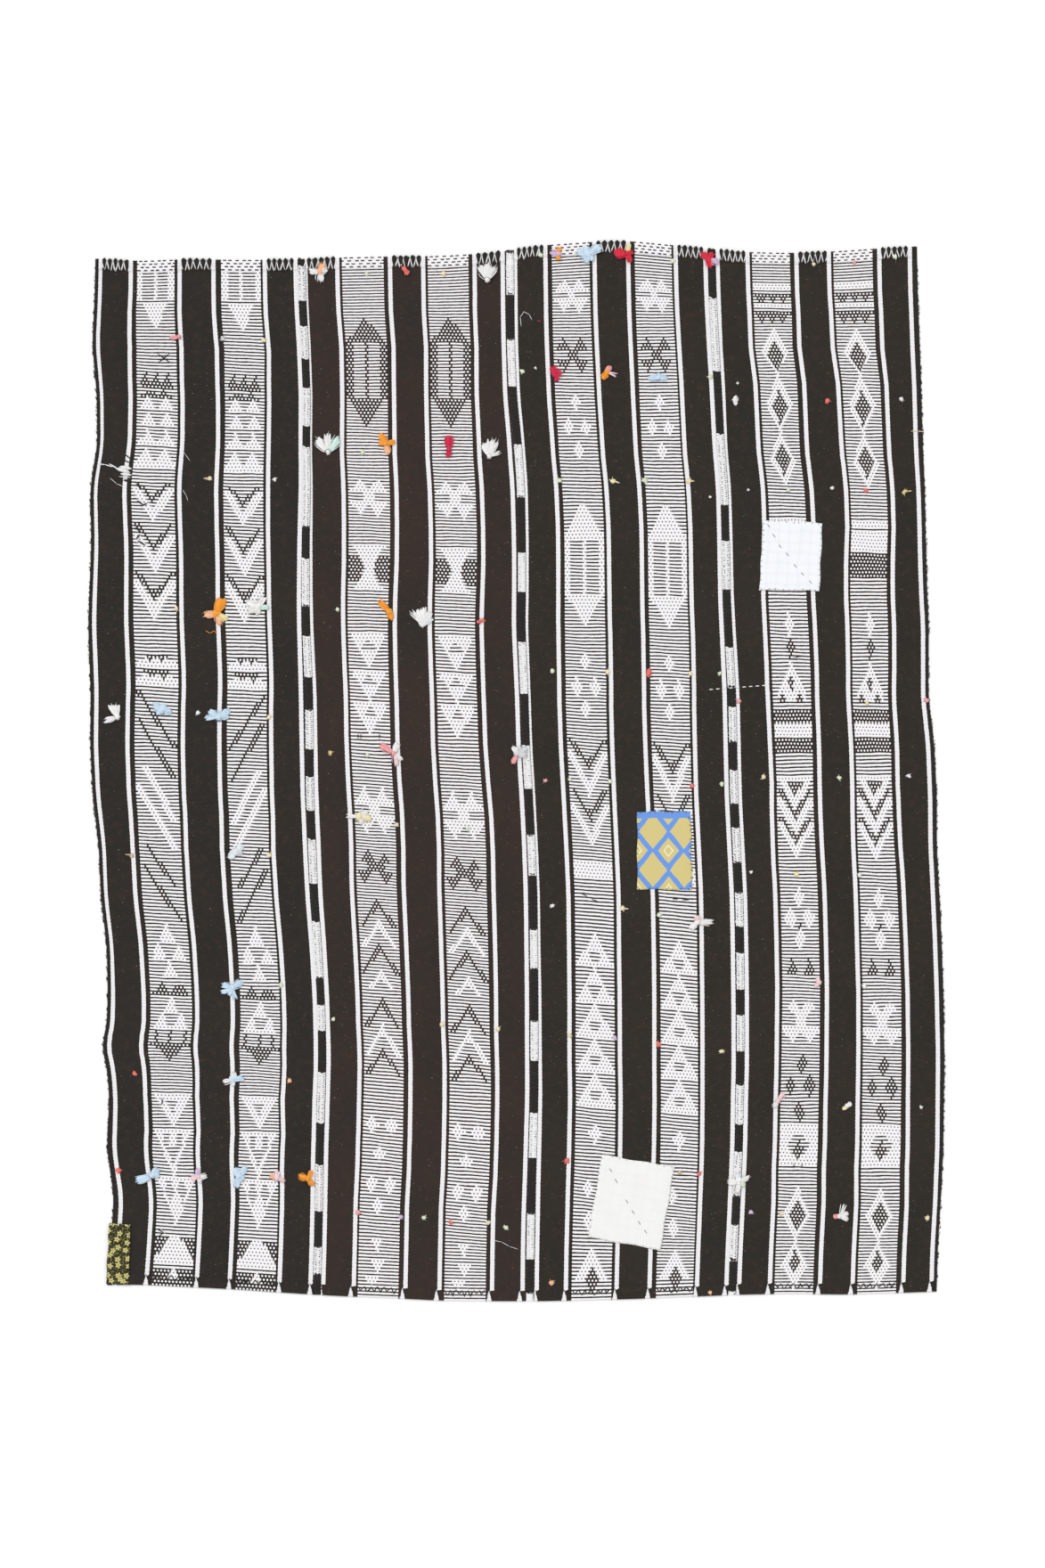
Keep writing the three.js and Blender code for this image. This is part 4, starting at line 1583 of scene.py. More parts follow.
@dataclass
class Joins:
    """The three needle-worked joins and the two overcast sides. Sizes are in metres."""

    yarn: bpy.types.Material
    base_drop: float = 0.0009
    hairs: int = 420
    hair_height: float = 0.0012
    end_room: float = 0.0015
    dark_reach: float = 0.0067
    stitch_height: float = 0.0016
    fleck_height: float = 0.0008
    dice: random.Random = field(default_factory=lambda: random.Random(11))

    def build(self) -> None:
        """Builds the joins and the overcast sides."""
        for join in JOINS:
            self.join(join)
        for line, start, end, turn in (("left", 0, EDGE_WIDTH, -1), ("right", -EDGE_WIDTH, 0, 1)):
            name = "edge_" + line
            ribbon = Ribbon(line, start, end, EDGE_HEIGHT * 0.5, EDGE_HEIGHT, spacing=0.0016, ridge=0.0006,
                            pitch=0.0062, slope=0.002)
            settle(name + "_overcast", ribbon.mesh(name, self.yarn, BLACK_YARN), "edge_yarn", [name])
            self.fringe(name, line, turn)

    def fringe(self, name: str, line: str, turn: int) -> None:
        """Adds the loose loops and hairs of worn yarn along an overcast side.

        Args:
            name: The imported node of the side.
            line: Its long line.
            turn: -1 for the left side, 1 for the right one.
        """
        hairs = Strands(4, 4)
        draw = self.dice.uniform
        for _ in range(self.hairs):
            y = draw(-1.015, 1.01)
            x = OUTLINE.line(line, y) - turn * draw(0.0002, 0.001)
            level = draw(0.0008, 0.0028)
            half = draw(0.003, 0.009) / 2
            out = turn * self.dice.choice((0, 0, 0, 0.0012, 0.0025))
            hairs.add((x, y - half, level), (x + out, y + half, level), draw(0.0007, 0.0017),
                      self.hair_height, BLACK_YARN, (turn * draw(0.0002, 0.0015), 0, 0))
        hairs.settle(name + "_fringe", self.yarn, "edge_yarn")

    def join(self, join: Join) -> None:
        """Builds one join: a dark ridge and the stitches over it.

        Args:
            join: Its row of the table.
        """
        half = SEAM_WIDTH / 2
        name, line = f"seam_{join.number}", f"seam{join.number}"
        ridge = Ribbon(line, -half, half, SEAM_SIDE - self.base_drop, SEAM_CROWN - self.base_drop, 0.003)
        mesh = ridge.mesh(name + "_ridge", self.yarn, BLACK_YARN)
        for vert, colour in zip(mesh.vertices, mesh.attributes["dye"].data):
            if self.white(join, photo_row(vert.co.y)):
                colour.color = WHITE_YARN
        settle(name + "_ridge", mesh, "join_yarn", [name])
        stitches = Strands(4, 4)
        draw = self.dice.uniform
        foot, top = OUTLINE.run(line)
        y = top - self.end_room
        while y > foot + self.end_room:
            white = self.white(join, photo_row(y + draw(-0.003, 0.003)))
            from_end = min(top - y, y - foot) - self.end_room
            broad = white and from_end >= HEM_DEPTH + 0.006
            wide = (join.wide / 2 if broad else self.dark_reach) + draw(-0.0009, 0.0005)
            for turn in (-1, 1):
                self.stitch(stitches, join, (OUTLINE.line(line, y), y), turn, wide, white)
            y -= join.pitch * draw(0.85, 1.15)
        stitches.settle(name + "_stitches", self.yarn, "join_yarn")

    @staticmethod
    def white(join: Join, row: float) -> bool:
        """Whether a join is white at a row of the photograph."""
        return any(top <= row <= low for top, low in join.blocks)

    def stitch(self, stitches: Strands, join: Join, place: tuple[float, float], turn: int, wide: float,
               white: bool) -> None:
        """Adds one stitch from a side to the middle of a join, and at times a dark fleck beside it.

        Args:
            stitches: Where it goes.
            join: The join's row of the table.
            place: Middle of the join there.
            turn: Side it comes from, -1 or 1.
            wide: How far out it starts.
            white: Whether it is white.
        """
        x, y = place
        draw = self.dice.uniform
        lean = join.lean * draw(0.5, 1.5)
        on_cloth = wide > SEAM_WIDTH / 2 - 0.0006
        outer = (x + turn * (wide - draw(0, 0.0008)), y + lean * (0.7 if turn < 0 else 0.35),
                 CLOTH + 0.0011 if on_cloth else SEAM_SIDE - 0.0008)
        inner = (x - turn * 0.0007, y - lean * 0.35, SEAM_CROWN - 0.0013)
        stitches.add(outer, inner, join.thick * draw(0.8, 1.15), self.stitch_height,
                     WHITE_YARN if white else BLACK_YARN,
                     (0, -turn * lean * 0.1 + draw(-0.0004, 0.0004), 0.0004))
        if white and self.dice.random() < join.flecks:
            near = x + turn * draw(0.0022, 0.0042)
            low = y - join.pitch * draw(0.7, 1.0)
            stitches.add((near, low, SEAM_CROWN - 0.0003),
                         (near + turn * 0.0014, low + draw(0.0022, 0.0036), SEAM_CROWN - 0.0006),
                         draw(0.0013, 0.0021), self.fleck_height, BLACK_YARN)


@dataclass
class HemSewing:
    """The stitches over the folded hems. Sizes are in metres."""

    yarn: bpy.types.Material
    strips: list[Strip]
    whip_pitch: float = 0.0117
    leg_width: float = 0.0026
    leg_height: float = 0.0016
    tack_height: float = 0.0014
    zigzag_pitch: float = 0.0125
    level: float = HEM + 0.0002
    dice: random.Random = field(default_factory=lambda: random.Random(5))
    legs: Strands = field(default_factory=lambda: Strands(4, 4))
    shields: Strands = field(default_factory=lambda: Strands(5, 6, Taper.SHIELD))

    def build(self) -> None:
        """Builds both rows of stitches as two pieces."""
        for strip in self.strips:
            self.whip(strip)
            self.tack(strip)
        self.legs.settle("hem_whip_stitches", self.yarn, "join_yarn")
        self.shields.settle("hem_overcast", self.yarn, "edge_yarn")

    def whip(self, strip: Strip) -> None:
        """White legs and black loops over the top hem of a strip's wide black bands.

        Args:
            strip: The strip.
        """
        over = 0.002
        for band, first, last in SPANS:
            if band is Band.WIDE:
                start, end = strip.x[-1, first] - over, strip.x[-1, last] + over
                number = max(round((end - start) / self.whip_pitch), 1)
                for n in range(number + 1):
                    self.leg(start + (end - start) * n / number, n < number, (end - start) / number)

    def leg(self, x: float, loop: bool, pitch: float) -> None:
        """One white leg pair, and the black loop to the right of it.

        Args:
            x: Place across.
            loop: Whether a loop follows.
            pitch: Distance to the next pair.
        """
        draw, z = self.dice.uniform, self.level
        top = OUTLINE.end("top", x)
        shake = draw(-0.0013, 0.0013)
        apex = top - HEM_DEPTH * draw(0.18, 0.36)
        middle = x + shake
        for turn in (-1, 1):
            beside = middle + turn * 0.0009
            self.legs.add((beside, top + 0.0006, z - 0.0012), (beside, apex - 0.004, z - 0.0003),
                          self.leg_width, self.leg_height, WHITE_YARN)
            foot = (middle + turn * draw(0.0038, 0.0054), top - HEM_DEPTH * draw(0.92, 1.1), z - 0.0004)
            self.legs.add((middle + turn * 0.0006, apex, z), foot, self.leg_width * draw(0.8, 1.15),
                          self.leg_height, WHITE_YARN)
        if loop:
            middle = x + pitch / 2 + draw(-0.0006, 0.0006)
            edge = OUTLINE.end("top", middle)
            self.shields.add((middle, edge + draw(0.0018, 0.0032), z - 0.0006),
                             (middle + shake * 1.5, edge - HEM_DEPTH * draw(0.7, 0.94), z + 0.0006),
                             pitch * draw(0.72, 0.86), 0.0026, BLACK_YARN, (0, 0, 0.0006))

    def tack(self, strip: Strip) -> None:
        """Black slanting stitches beside the white stripes of the bottom hem, and a zigzag between.

        Args:
            strip: The strip.
        """
        z = self.level
        for band, first, last in SPANS:
            x0, x1 = strip.x[0, first], strip.x[0, last]
            foot = OUTLINE.end("bottom", (x0 + x1) / 2)
            fold = foot + HEM_DEPTH
            if band is Band.WHITE:
                middle = (x0 + x1) / 2 + 0.001
                self.legs.add((middle - 0.005, fold + 0.001, z), (middle - 0.0045, foot + 0.004, z), 0.0016,
                              self.tack_height, BLACK_YARN)
                self.legs.add((middle - 0.001, fold + 0.002, z), (middle + 0.0055, foot + 0.007, z), 0.0018,
                              self.tack_height, BLACK_YARN)
            if band is Band.CHART:
                self.zigzag(x0, x1)

    def zigzag(self, start: float, end: float) -> None:
        """A zigzag along the fold of the bottom hem.

        Args:
            start: Where across it starts.
            end: Where across it ends.
        """
        draw, z = self.dice.uniform, self.level
        number = max(round((end - start) / self.zigzag_pitch), 1)
        wide = (end - start) / number
        for n in range(number):
            left = start + wide * n
            line = OUTLINE.end("bottom", left) + HEM_DEPTH + 0.001
            dip = line - draw(0.008, 0.014)
            turn = left + wide * draw(0.3, 0.6)
            thick = draw(0.002, 0.0028)
            self.legs.add((left, line, z), (turn, dip, z), thick, self.tack_height, BLACK_YARN)
            self.legs.add((turn, dip, z), (left + wide, line + draw(-0.002, 0.001), z), thick,
                          self.tack_height, BLACK_YARN, (draw(-0.002, 0.002), 0, 0))


# Mending patches


class PatchRow(NamedTuple):
    """A patch: its corners in millimetres from the upper left one, clockwise, and what it lies on.

    dashes are the pixels that its running stitches start at, and dash is their course in pixels.
    """

    name: str
    lies: float
    corners: tuple[tuple[float, float], ...]
    finish: PatchCotton
    stitch: str
    spacing: float
    dash: tuple[float, float] = (0, 0)
    dashes: tuple[tuple[float, float], ...] = ()


PATCHES = (
    PatchRow("patch_white", CLOTH, ((493, 500), (610, 494), (604, 359), (484, 361)),
             PatchCotton("bleached cotton", Print.WINDOW, "#f2f5f9", "#e2e8f0", "#fbfcff"), "#8f8f92", 0.013,
             (3.4, 4.6),
             ((861, 588), (867, 599), (874, 611), (882, 620), (891, 633), (899, 642), (908, 651))),
    PatchRow("patch_print", CLOTH, ((241, -81), (347, -81), (350, -237), (241, -235)),
             PatchCotton("printed cotton", Print.DIAMOND, "#d9c987", "#6f9ce6", "#efe7c4"), "#4a4a55", 0.016),
    PatchRow("patch_grey", CLOTH, ((171, -764), (315, -789), (287, -954), (143, -929)),
             PatchCotton("washed cotton", Print.WASHED, "#f0efee", "#dfe6e2", "#fafaf8"), "#b7b9b4", 0.015,
             (3.2, 5.0), ((684, 1311), (690, 1323), (702, 1346), (709, 1358), (716, 1370), (723, 1380))),
    PatchRow("patch_floral", HEM, ((-811, -901), (-768, -903), (-772, -1022), (-817, -1022)),
             PatchCotton("dark printed cotton", Print.FLOWER, "#2a2820", "#d3cb84", "#8f8a4c"), "#2b2926",
             0.014),
)


@dataclass
class Patches:
    """The four patches and the stitches that hold them. Sizes are in metres."""

    yarn: bpy.types.Material
    ground: list[str]
    cells: int = 40
    bend: float = 0.0009
    pucker: float = 0.00025
    swell: float = 0.0002
    bite: float = 0.0034
    over: float = 0.0012
    dash_dye: str = "#6d6e78"
    dice: random.Random = field(default_factory=lambda: random.Random(21))

    def build(self) -> None:
        for row in PATCHES:
            self.patch(row)

    def patch(self, row: PatchRow) -> None:
        """Builds one patch.

        Args:
            row: Its row of the table.
        """
        corners = [Vector((x / 1000, y / 1000)) for x, y in row.corners]
        width = ((corners[1] - corners[0]).length + (corners[2] - corners[3]).length) / 2
        length = ((corners[3] - corners[0]).length + (corners[2] - corners[1]).length) / 2
        work = sheet_grid(self.cells, self.cells)
        i_layer, j_layer = work.verts.layers.int["row"], work.verts.layers.int["col"]
        base = row.lies + GAP
        for vert in work.verts:
            v, u = vert[i_layer] / self.cells, vert[j_layer] / self.cells
            rim = min(u, v, 1 - u, 1 - v)
            pulled = math.sin(u * width * math.tau / row.spacing)
            pulled *= math.sin(v * length * math.tau / row.spacing)
            z = base + PATCH * (0.75 + 0.25 * min(rim * 12, 1)) + self.pucker * pulled * max(0.0, 1 - rim * 7)
            z += self.swell * math.sin(u * 9 + v * 5) * math.sin(v * 11)
            vert.co = (*self.spot(corners, u, v, row.name), z)
        close_under(work, base)
        layer = work.loops.layers.uv.new("cut")
        for face in work.faces:
            face.smooth = True
            for loop in face.loops:
                vert = loop.vert
                loop[layer].uv = (vert[j_layer] / self.cells * width, vert[i_layer] / self.cells * length)
        mesh = freeze(work, row.name, *LAYERS)
        mesh.materials.append(row.finish.dress())
        piece = settle(row.name + "_cloth", mesh, row.name, [row.name])
        stitches = self.stitches(row, corners, width, length)
        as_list(self.ground)

    def spot(self, corners: list[Vector], u: float, v: float, name: str) -> Vector:
        """Place on the patch, its sides a little uneven.

        Args:
            corners: Its corners.
            u: Share of the way across.
            v: Share of the way up.
            name: The patch's name, which sets how its sides bend.

        Returns:
            X and Y.
        """
        spot = corners[3].lerp(corners[2], u).lerp(corners[0].lerp(corners[1], u), v)
        seed = sum(map(ord, name))
        spot.x += self.bend * math.sin(v * 13 + seed) * abs(2 * u - 1)
        spot.y += self.bend * math.sin(u * 12 + seed * 2) * abs(2 * v - 1)
        return spot

    def stitches(self, row: PatchRow, corners: list[Vector], width: float, length: float) -> bpy.types.Object:
        """Whip stitches round the sides and running stitches where the patch has them.

        Args:
            row: The patch's row of the table.
            corners: Its corners.
            width: Its width.
            length: Its length.

        Returns:
            The stitches as one piece.
        """
        sewing = Strands(4, 4)
        dye = linear(row.stitch)
        top = row.lies + GAP + PATCH
        draw = self.dice.uniform
        for level, at_end, size in ((1, 0, width), (1, 1, width), (0, 0, length), (0, 1, length)):
            count = round(size / row.spacing)
            for n in range(count):
                share = (n + draw(0.3, 0.7)) / count
                at = self.spot(corners, *((share, at_end) if level else (at_end, share)), row.name)
                sway, inward = draw(-0.3, 0.3), 1 - 2 * at_end
                way = Vector((sway, inward) if level else (inward, sway))
                inner, outer = at + way * self.bite, at - way * self.over
                sewing.add((*outer, row.lies + 0.0006), (*inner, top + 0.0001), 0.0012, 0.0009, dye,
                           (0, 0, 0.0007))
        for px, py in row.dashes:
            a, b = (across(px), along(py)), (across(px + row.dash[0]), along(py + row.dash[1]))
            sewing.add((*a, top), (*b, top), 0.0013, 0.0011, linear(self.dash_dye), (0, 0, 0.0004))
        return sewing.settle(row.name + "_stitches", self.yarn, row.name)


# Tufts, knots and loose threads

DYES = {
    "white": "#f3f2f1", "ice": "#e9f0f4", "mint": "#d8efe8", "blue": "#cfe5f6", "orange": "#f9a12a",
    "peach": "#f9bf95", "coral": "#f2746c", "rose": "#f3a9ab", "pink": "#f4d5d8", "red": "#dd1f3c",
    "crimson": "#d5204a", "lilac": "#d9bfdc", "cream": "#f3e6c0", "yellow": "#f5e8a8", "grey": "#dcdcdf",
    "green": "#e4eccf", "gold": "#dcc88c", "tan": "#d8bf9c", "ink": "#2b2826",
}


def uneven(dye: str, dice: random.Random, top: float = 1.06) -> Colour:
    """A dye, a little lighter or darker.

    Args:
        dye: Its name.
        dice: Source of unevenness.
        top: The lightest that it gets.

    Returns:
        The colour.
    """
    level = dice.uniform(0.9, top)
    return *(min(part * level, 1) for part in linear(DYES[dye])[:3]), 1


class Lock(NamedTuple):
    """A lock: its turn in degrees from +X towards +Y, its reach and width in millimetres, and its dye."""

    turn: float
    reach: float
    width: float
    dye: str


class TuftRow(NamedTuple):
    """A tuft: its knot's place and radius in millimetres, its slot, its locks and what it lies on."""

    x: float
    y: float
    knot: float
    slot: str
    locks: tuple[Lock, ...]
    lies: float


def tie(x: float, y: float, knot: float, slot: str, *locks: tuple, lies: float = CLOTH) -> TuftRow:
    """A tuft whose locks have its slot's dye where they name none."""
    return TuftRow(x, y, knot, slot, tuple(Lock(*(lock + (slot,))[:4]) for lock in locks), lies)


TUFTS = (
    tie(-391, 994, 11, "white", (65, 22, 15, "peach"), (175, 24, 11), (275, 22, 15), (12, 17, 14), lies=HEM),
    tie(-221, 997, 8, "coral", (120, 10, 11), (295, 11, 11), lies=HEM),
    tie(-58, 978, 8, "white", (116, 36, 12), (91, 38, 12), (64, 37, 12), lies=HEM),
    tie(84, 1030, 9, "orange", (172, 19, 14, "lilac"), (78, 16, 9), (255, 14, 12), lies=HEM),
    tie(143, 1030, 14, "blue", (172, 26, 13), (112, 19, 14), (28, 33, 14), (250, 20, 15), (305, 18, 14),
        lies=HEM),
    tie(222, 1031, 9, "red", (180, 30, 17), (82, 22, 9, "yellow"), (285, 20, 12), (10, 12, 9), lies=HEM),
    tie(383, 1018, 11, "red", (132, 23, 14), (62, 18, 12), (285, 19, 14), (345, 24, 13, "lilac"), lies=HEM),
    tie(-672, 865, 7, "coral", (184, 20, 8, "rose")),
    tie(80, 780, 8, "red", (104, 34, 9, "crimson"), (62, 24, 8, "crimson")),
    tie(180, 794, 10, "orange", (62, 18, 11, "rose"), (235, 18, 12), (343, 24, 4, "pink")),
    tie(283, 783, 9, "blue", (182, 22, 13), (358, 22, 12), (85, 11, 12)),
    tie(436, 739, 9, "white", (280, 12, 9), (80, 10, 10)),
    tie(-375, 635, 8, "white", (128, 40, 15), (92, 42, 11), (53, 41, 14, "mint")),
    tie(-260, 652, 10, "orange", (118, 26, 15), (165, 16, 13), (12, 21, 10), (285, 24, 12, "peach")),
    tie(-134, 640, 9, "red", (92, 32, 17, "crimson"), (265, 17, 11, "crimson")),
    tie(-54, 627, 8, "white", (112, 32, 12), (86, 37, 12), (64, 39, 10), (22, 26, 4)),
    tie(-598, 314, 14, "orange", (66, 38, 20), (190, 27, 16, "peach"), (288, 28, 13, "peach"),
        (330, 28, 10, "yellow")),
    tie(-514, 327, 12, "white", (152, 27, 12), (205, 26, 12), (262, 18, 12), (62, 26, 11),
        (358, 24, 11, "mint")),
    tie(-253, 317, 11, "orange", (134, 34, 11), (290, 19, 13)),
    tie(-187, 292, 10, "white", (134, 40, 4), (112, 36, 13), (86, 38, 13), (58, 34, 12), (32, 29, 11, "ice")),
    tie(-75, 297, 6, "coral", (18, 15, 6)),
    tie(-795, 108, 9, "white", (118, 31, 12), (86, 29, 10), (196, 30, 9)),
    tie(-706, 122, 14, "blue", (150, 24, 14), (215, 14, 12), (345, 22, 15), (60, 15, 12)),
    tie(-592, 108, 13, "blue", (150, 25, 15), (184, 32, 8), (38, 27, 15), (5, 23, 12)),
    tie(-244, 35, 9, "pink", (148, 35, 11, "rose"), (72, 26, 10, "white"), (285, 30, 9),
        (325, 24, 8, "white")),
    tie(1, 35, 10, "pink", (118, 19, 10, "white"), (250, 24, 10, "rose"), (28, 26, 13, "grey"),
        (345, 24, 11, "grey"), lies=SEAM_CROWN),
    tie(-313, -91, 13, "white", (178, 28, 7), (35, 24, 15), (350, 26, 15, "cream"), (290, 17, 12)),
    tie(-560, -162, 12, "white", (42, 23, 15, "ice"), (222, 20, 15, "ice"), (355, 17, 12, "grey")),
    tie(-565, -432, 11, "blue", (158, 25, 10), (205, 27, 8), (38, 26, 13), (282, 27, 7), (245, 19, 8)),
    tie(361, -302, 9, "pink", (215, 23, 13, "white"), (95, 16, 11), (2, 36, 10, "white")),
    tie(603, -422, 8, "pink", (105, 13, 8), (225, 13, 9)),
    tie(-566, -615, 11, "white", (192, 22, 11), (68, 17, 14), (8, 27, 12, "blue"), (280, 14, 11)),
    tie(521, -658, 7, "pink", (56, 24, 8), (232, 17, 8, "white")),
    tie(659, -667, 7, "cream", (42, 12, 9, "white"), (222, 12, 9)),
    tie(-726, -806, 10, "blue", (200, 36, 13), (52, 23, 13), (8, 18, 11)),
    tie(-633, -809, 9, "pink", (98, 19, 9, "lilac"), (5, 20, 10, "white"), (182, 17, 12),
        (285, 14, 10, "white")),
    tie(-553, -806, 13, "blue", (48, 26, 14), (112, 19, 13), (258, 28, 12), (320, 17, 12)),
    tie(-477, -810, 10, "pink", (165, 16, 10, "peach"), (338, 20, 9), (88, 15, 12)),
    tie(-415, -812, 9, "orange", (160, 23, 13), (60, 20, 8), (308, 20, 11)),
    tie(443, -817, 13, "white", (188, 24, 11), (22, 27, 9), (100, 17, 13, "ice"), (262, 27, 12),
        (322, 18, 11, "green"), lies=SEAM_CROWN),
    tie(644, -887, 9, "pink", (178, 15, 9, "rose"), (18, 20, 9, "white"), (338, 20, 9, "white"),
        (68, 28, 3, "white")),
    tie(264, 196, 8, "coral", (80, 10, 9), (262, 10, 9)),
)


@dataclass
class Tufts:
    """Tied tufts of cut yarn: a knot over the cloth and locks that lie flat round it. Sizes are in metres."""

    yarn: bpy.types.Material
    ply: float = 0.0018
    ply_height: float = 0.0015
    body_height: float = 0.0024
    turns: int = 7
    turn_height: float = 0.003

    def build(self) -> None:
        """Builds one piece for each tuft."""
        for number, row in enumerate(TUFTS, start=1):
            self.tuft(number, row)

    def tuft(self, number: int, row: TuftRow) -> None:
        """Builds one tuft.

        Args:
            number: Its number, from one.
            row: Its row of the table.
        """
        dice = random.Random(number)
        strands = Strands(5, 5, Taper.LOCK)
        root = Vector((row.x / 1000, row.y / 1000, row.lies + GAP))
        knot = row.knot / 1000
        for lock in row.locks:
            self.lock(strands, dice, root, lock)
        main = max(row.locks, key=lambda lock: lock.reach * lock.width).dye
        for n in range(self.turns):
            turn = math.pi * n / self.turns + dice.uniform(-0.2, 0.2)
            arm = Vector((math.cos(turn), math.sin(turn), 0)) * knot * dice.uniform(0.55, 0.8)
            low = root + Vector((0, 0, 0.001))
            strands.add(low - arm, low + arm, knot * 0.55, self.turn_height, uneven(main, dice),
                        (0, 0, KNOT_HEIGHT - 0.0035))
        name = f"tuft_{number:02d}"
        strands.settle(name + "_yarn", self.yarn, "tuft_" + row.slot, [name])

    def lock(self, strands: Strands, dice: random.Random, root: Vector, lock: Lock) -> None:
        """Adds one lock: three thick bodies and a brush of single yarns over them.

        Args:
            strands: Where they go.
            dice: Source of unevenness.
            root: Middle of the knot on what it lies on.
            lock: The lock's sizes.
        """
        turn, reach, width = math.radians(lock.turn), lock.reach / 1000, lock.width / 1000
        draw = dice.uniform
        up = Vector((0, 0, 1))
        for fork in (-1, 0, 1):
            angle = turn + fork * draw(0.08, 0.2)
            way = Vector((math.cos(angle), math.sin(angle), 0)) * reach * draw(0.78, 0.96)
            strands.add(root + up * 0.0012, root + way + up * 0.001, width * draw(0.55, 0.72),
                        self.body_height, uneven(lock.dye, dice),
                        (draw(-0.001, 0.001), draw(-0.001, 0.001), 0.001 + 0.0003 * fork))
        count = max(4, round(width / self.ply * 1.35))
        for n in range(count):
            off = (n + 0.5) / count * 2 - 1 + draw(-0.15, 0.15)
            angle = turn + off * 0.16 + draw(-0.14, 0.14)
            long = reach * (1 - 0.2 * off * off) * draw(0.7, 1.04)
            side = Vector((-math.sin(turn), math.cos(turn), 0)) * off * width * 0.36
            start = root + side * 0.45 + up * 0.0018
            end = root + Vector((math.cos(angle), math.sin(angle), 0)) * long + side * 0.72 + up * 0.0014
            bow = side * draw(0.1, 0.9) + up * 0.0013
            strands.add(start, end, self.ply * draw(0.7, 1.1), self.ply_height, uneven(lock.dye, dice), bow)


class KnotRow(NamedTuple):
    """A small knot: its pixel in the photograph, its dye, its size and its tail in millimetres."""

    px: float
    py: float
    dye: str
    size: float = 7.0
    tail: tuple[float, float] = (0.0, 0.0)


KNOTS = tuple(KnotRow(*row) for row in (
    (412, 308, "green"), (498, 307, "cream", 7, (6, -8)), (607, 286, "green", 8), (755, 293, "green"),
    (913, 296, "cream", 7, (0, -5)), (959, 294, "rose"), (1005, 288, "green"), (250, 380, "grey"),
    (296, 382, "cream"), (586, 417, "green"), (601, 413, "white", 4), (797, 423, "green"),
    (828, 430, "white", 4), (929, 450, "coral", 8), (1012, 448, "white"), (407, 508, "green"),
    (235, 537, "cream", 7, (-12, 0)), (308, 538, "white", 6), (628, 539, "green"),
    (688, 540, "cream", 8, (14, -4)), (724, 539, "green", 9), (773, 540, "cream", 8, (12, 0)),
    (840, 550, "white", 4), (934, 548, "white", 6), (885, 550, "green", 6), (972, 551, "coral"),
    (1015, 552, "gold", 8, (16, 2)), (797, 558, "white", 4), (198, 683, "cream"), (379, 684, "green", 6),
    (620, 753, "green"), (682, 754, "cream"), (775, 756, "cream"), (808, 756, "green", 6),
    (829, 787, "rose", 8), (973, 789, "yellow", 6), (1040, 786, "rose", 8), (222, 800, "white"),
    (302, 805, "cream"), (371, 845, "gold"), (412, 848, "green", 6), (612, 876, "rose", 6),
    (640, 875, "green", 6), (685, 877, "green"), (777, 882, "coral"), (810, 880, "green"),
    (857, 872, "cream"), (942, 873, "green"), (1020, 871, "white"), (445, 926, "cream"),
    (525, 930, "green", 6), (148, 960, "tan", 7, (-14, 2)), (302, 960, "cream"), (894, 981, "yellow"),
    (965, 982, "white", 6), (843, 979, "white", 5), (315, 1106, "green"), (620, 1017, "white", 6),
    (699, 1020, "cream", 8, (12, 0)), (740, 1027, "green"), (970, 1107, "white"), (374, 1144, "green", 6),
    (496, 1150, "cream"), (559, 1155, "cream"), (640, 1162, "cream"), (690, 1165, "lilac"),
    (739, 1172, "coral", 8), (810, 1180, "cream"), (151, 1205, "coral"), (325, 1213, "peach"),
    (1034, 1243, "white", 5), (133, 1314, "coral", 8), (636, 1303, "coral", 8), (763, 1316, "tan", 6),
    (785, 1317, "coral"), (402, 1361, "rose", 8), (450, 1366, "lilac"), (476, 1367, "green"),
    (506, 1372, "coral", 6), (548, 1372, "cream"), (568, 1378, "green"), (843, 1361, "lilac"),
    (877, 1362, "cream"), (1041, 1367, "cream"), (619, 1440, "peach", 8), (797, 1451, "peach", 6),
))

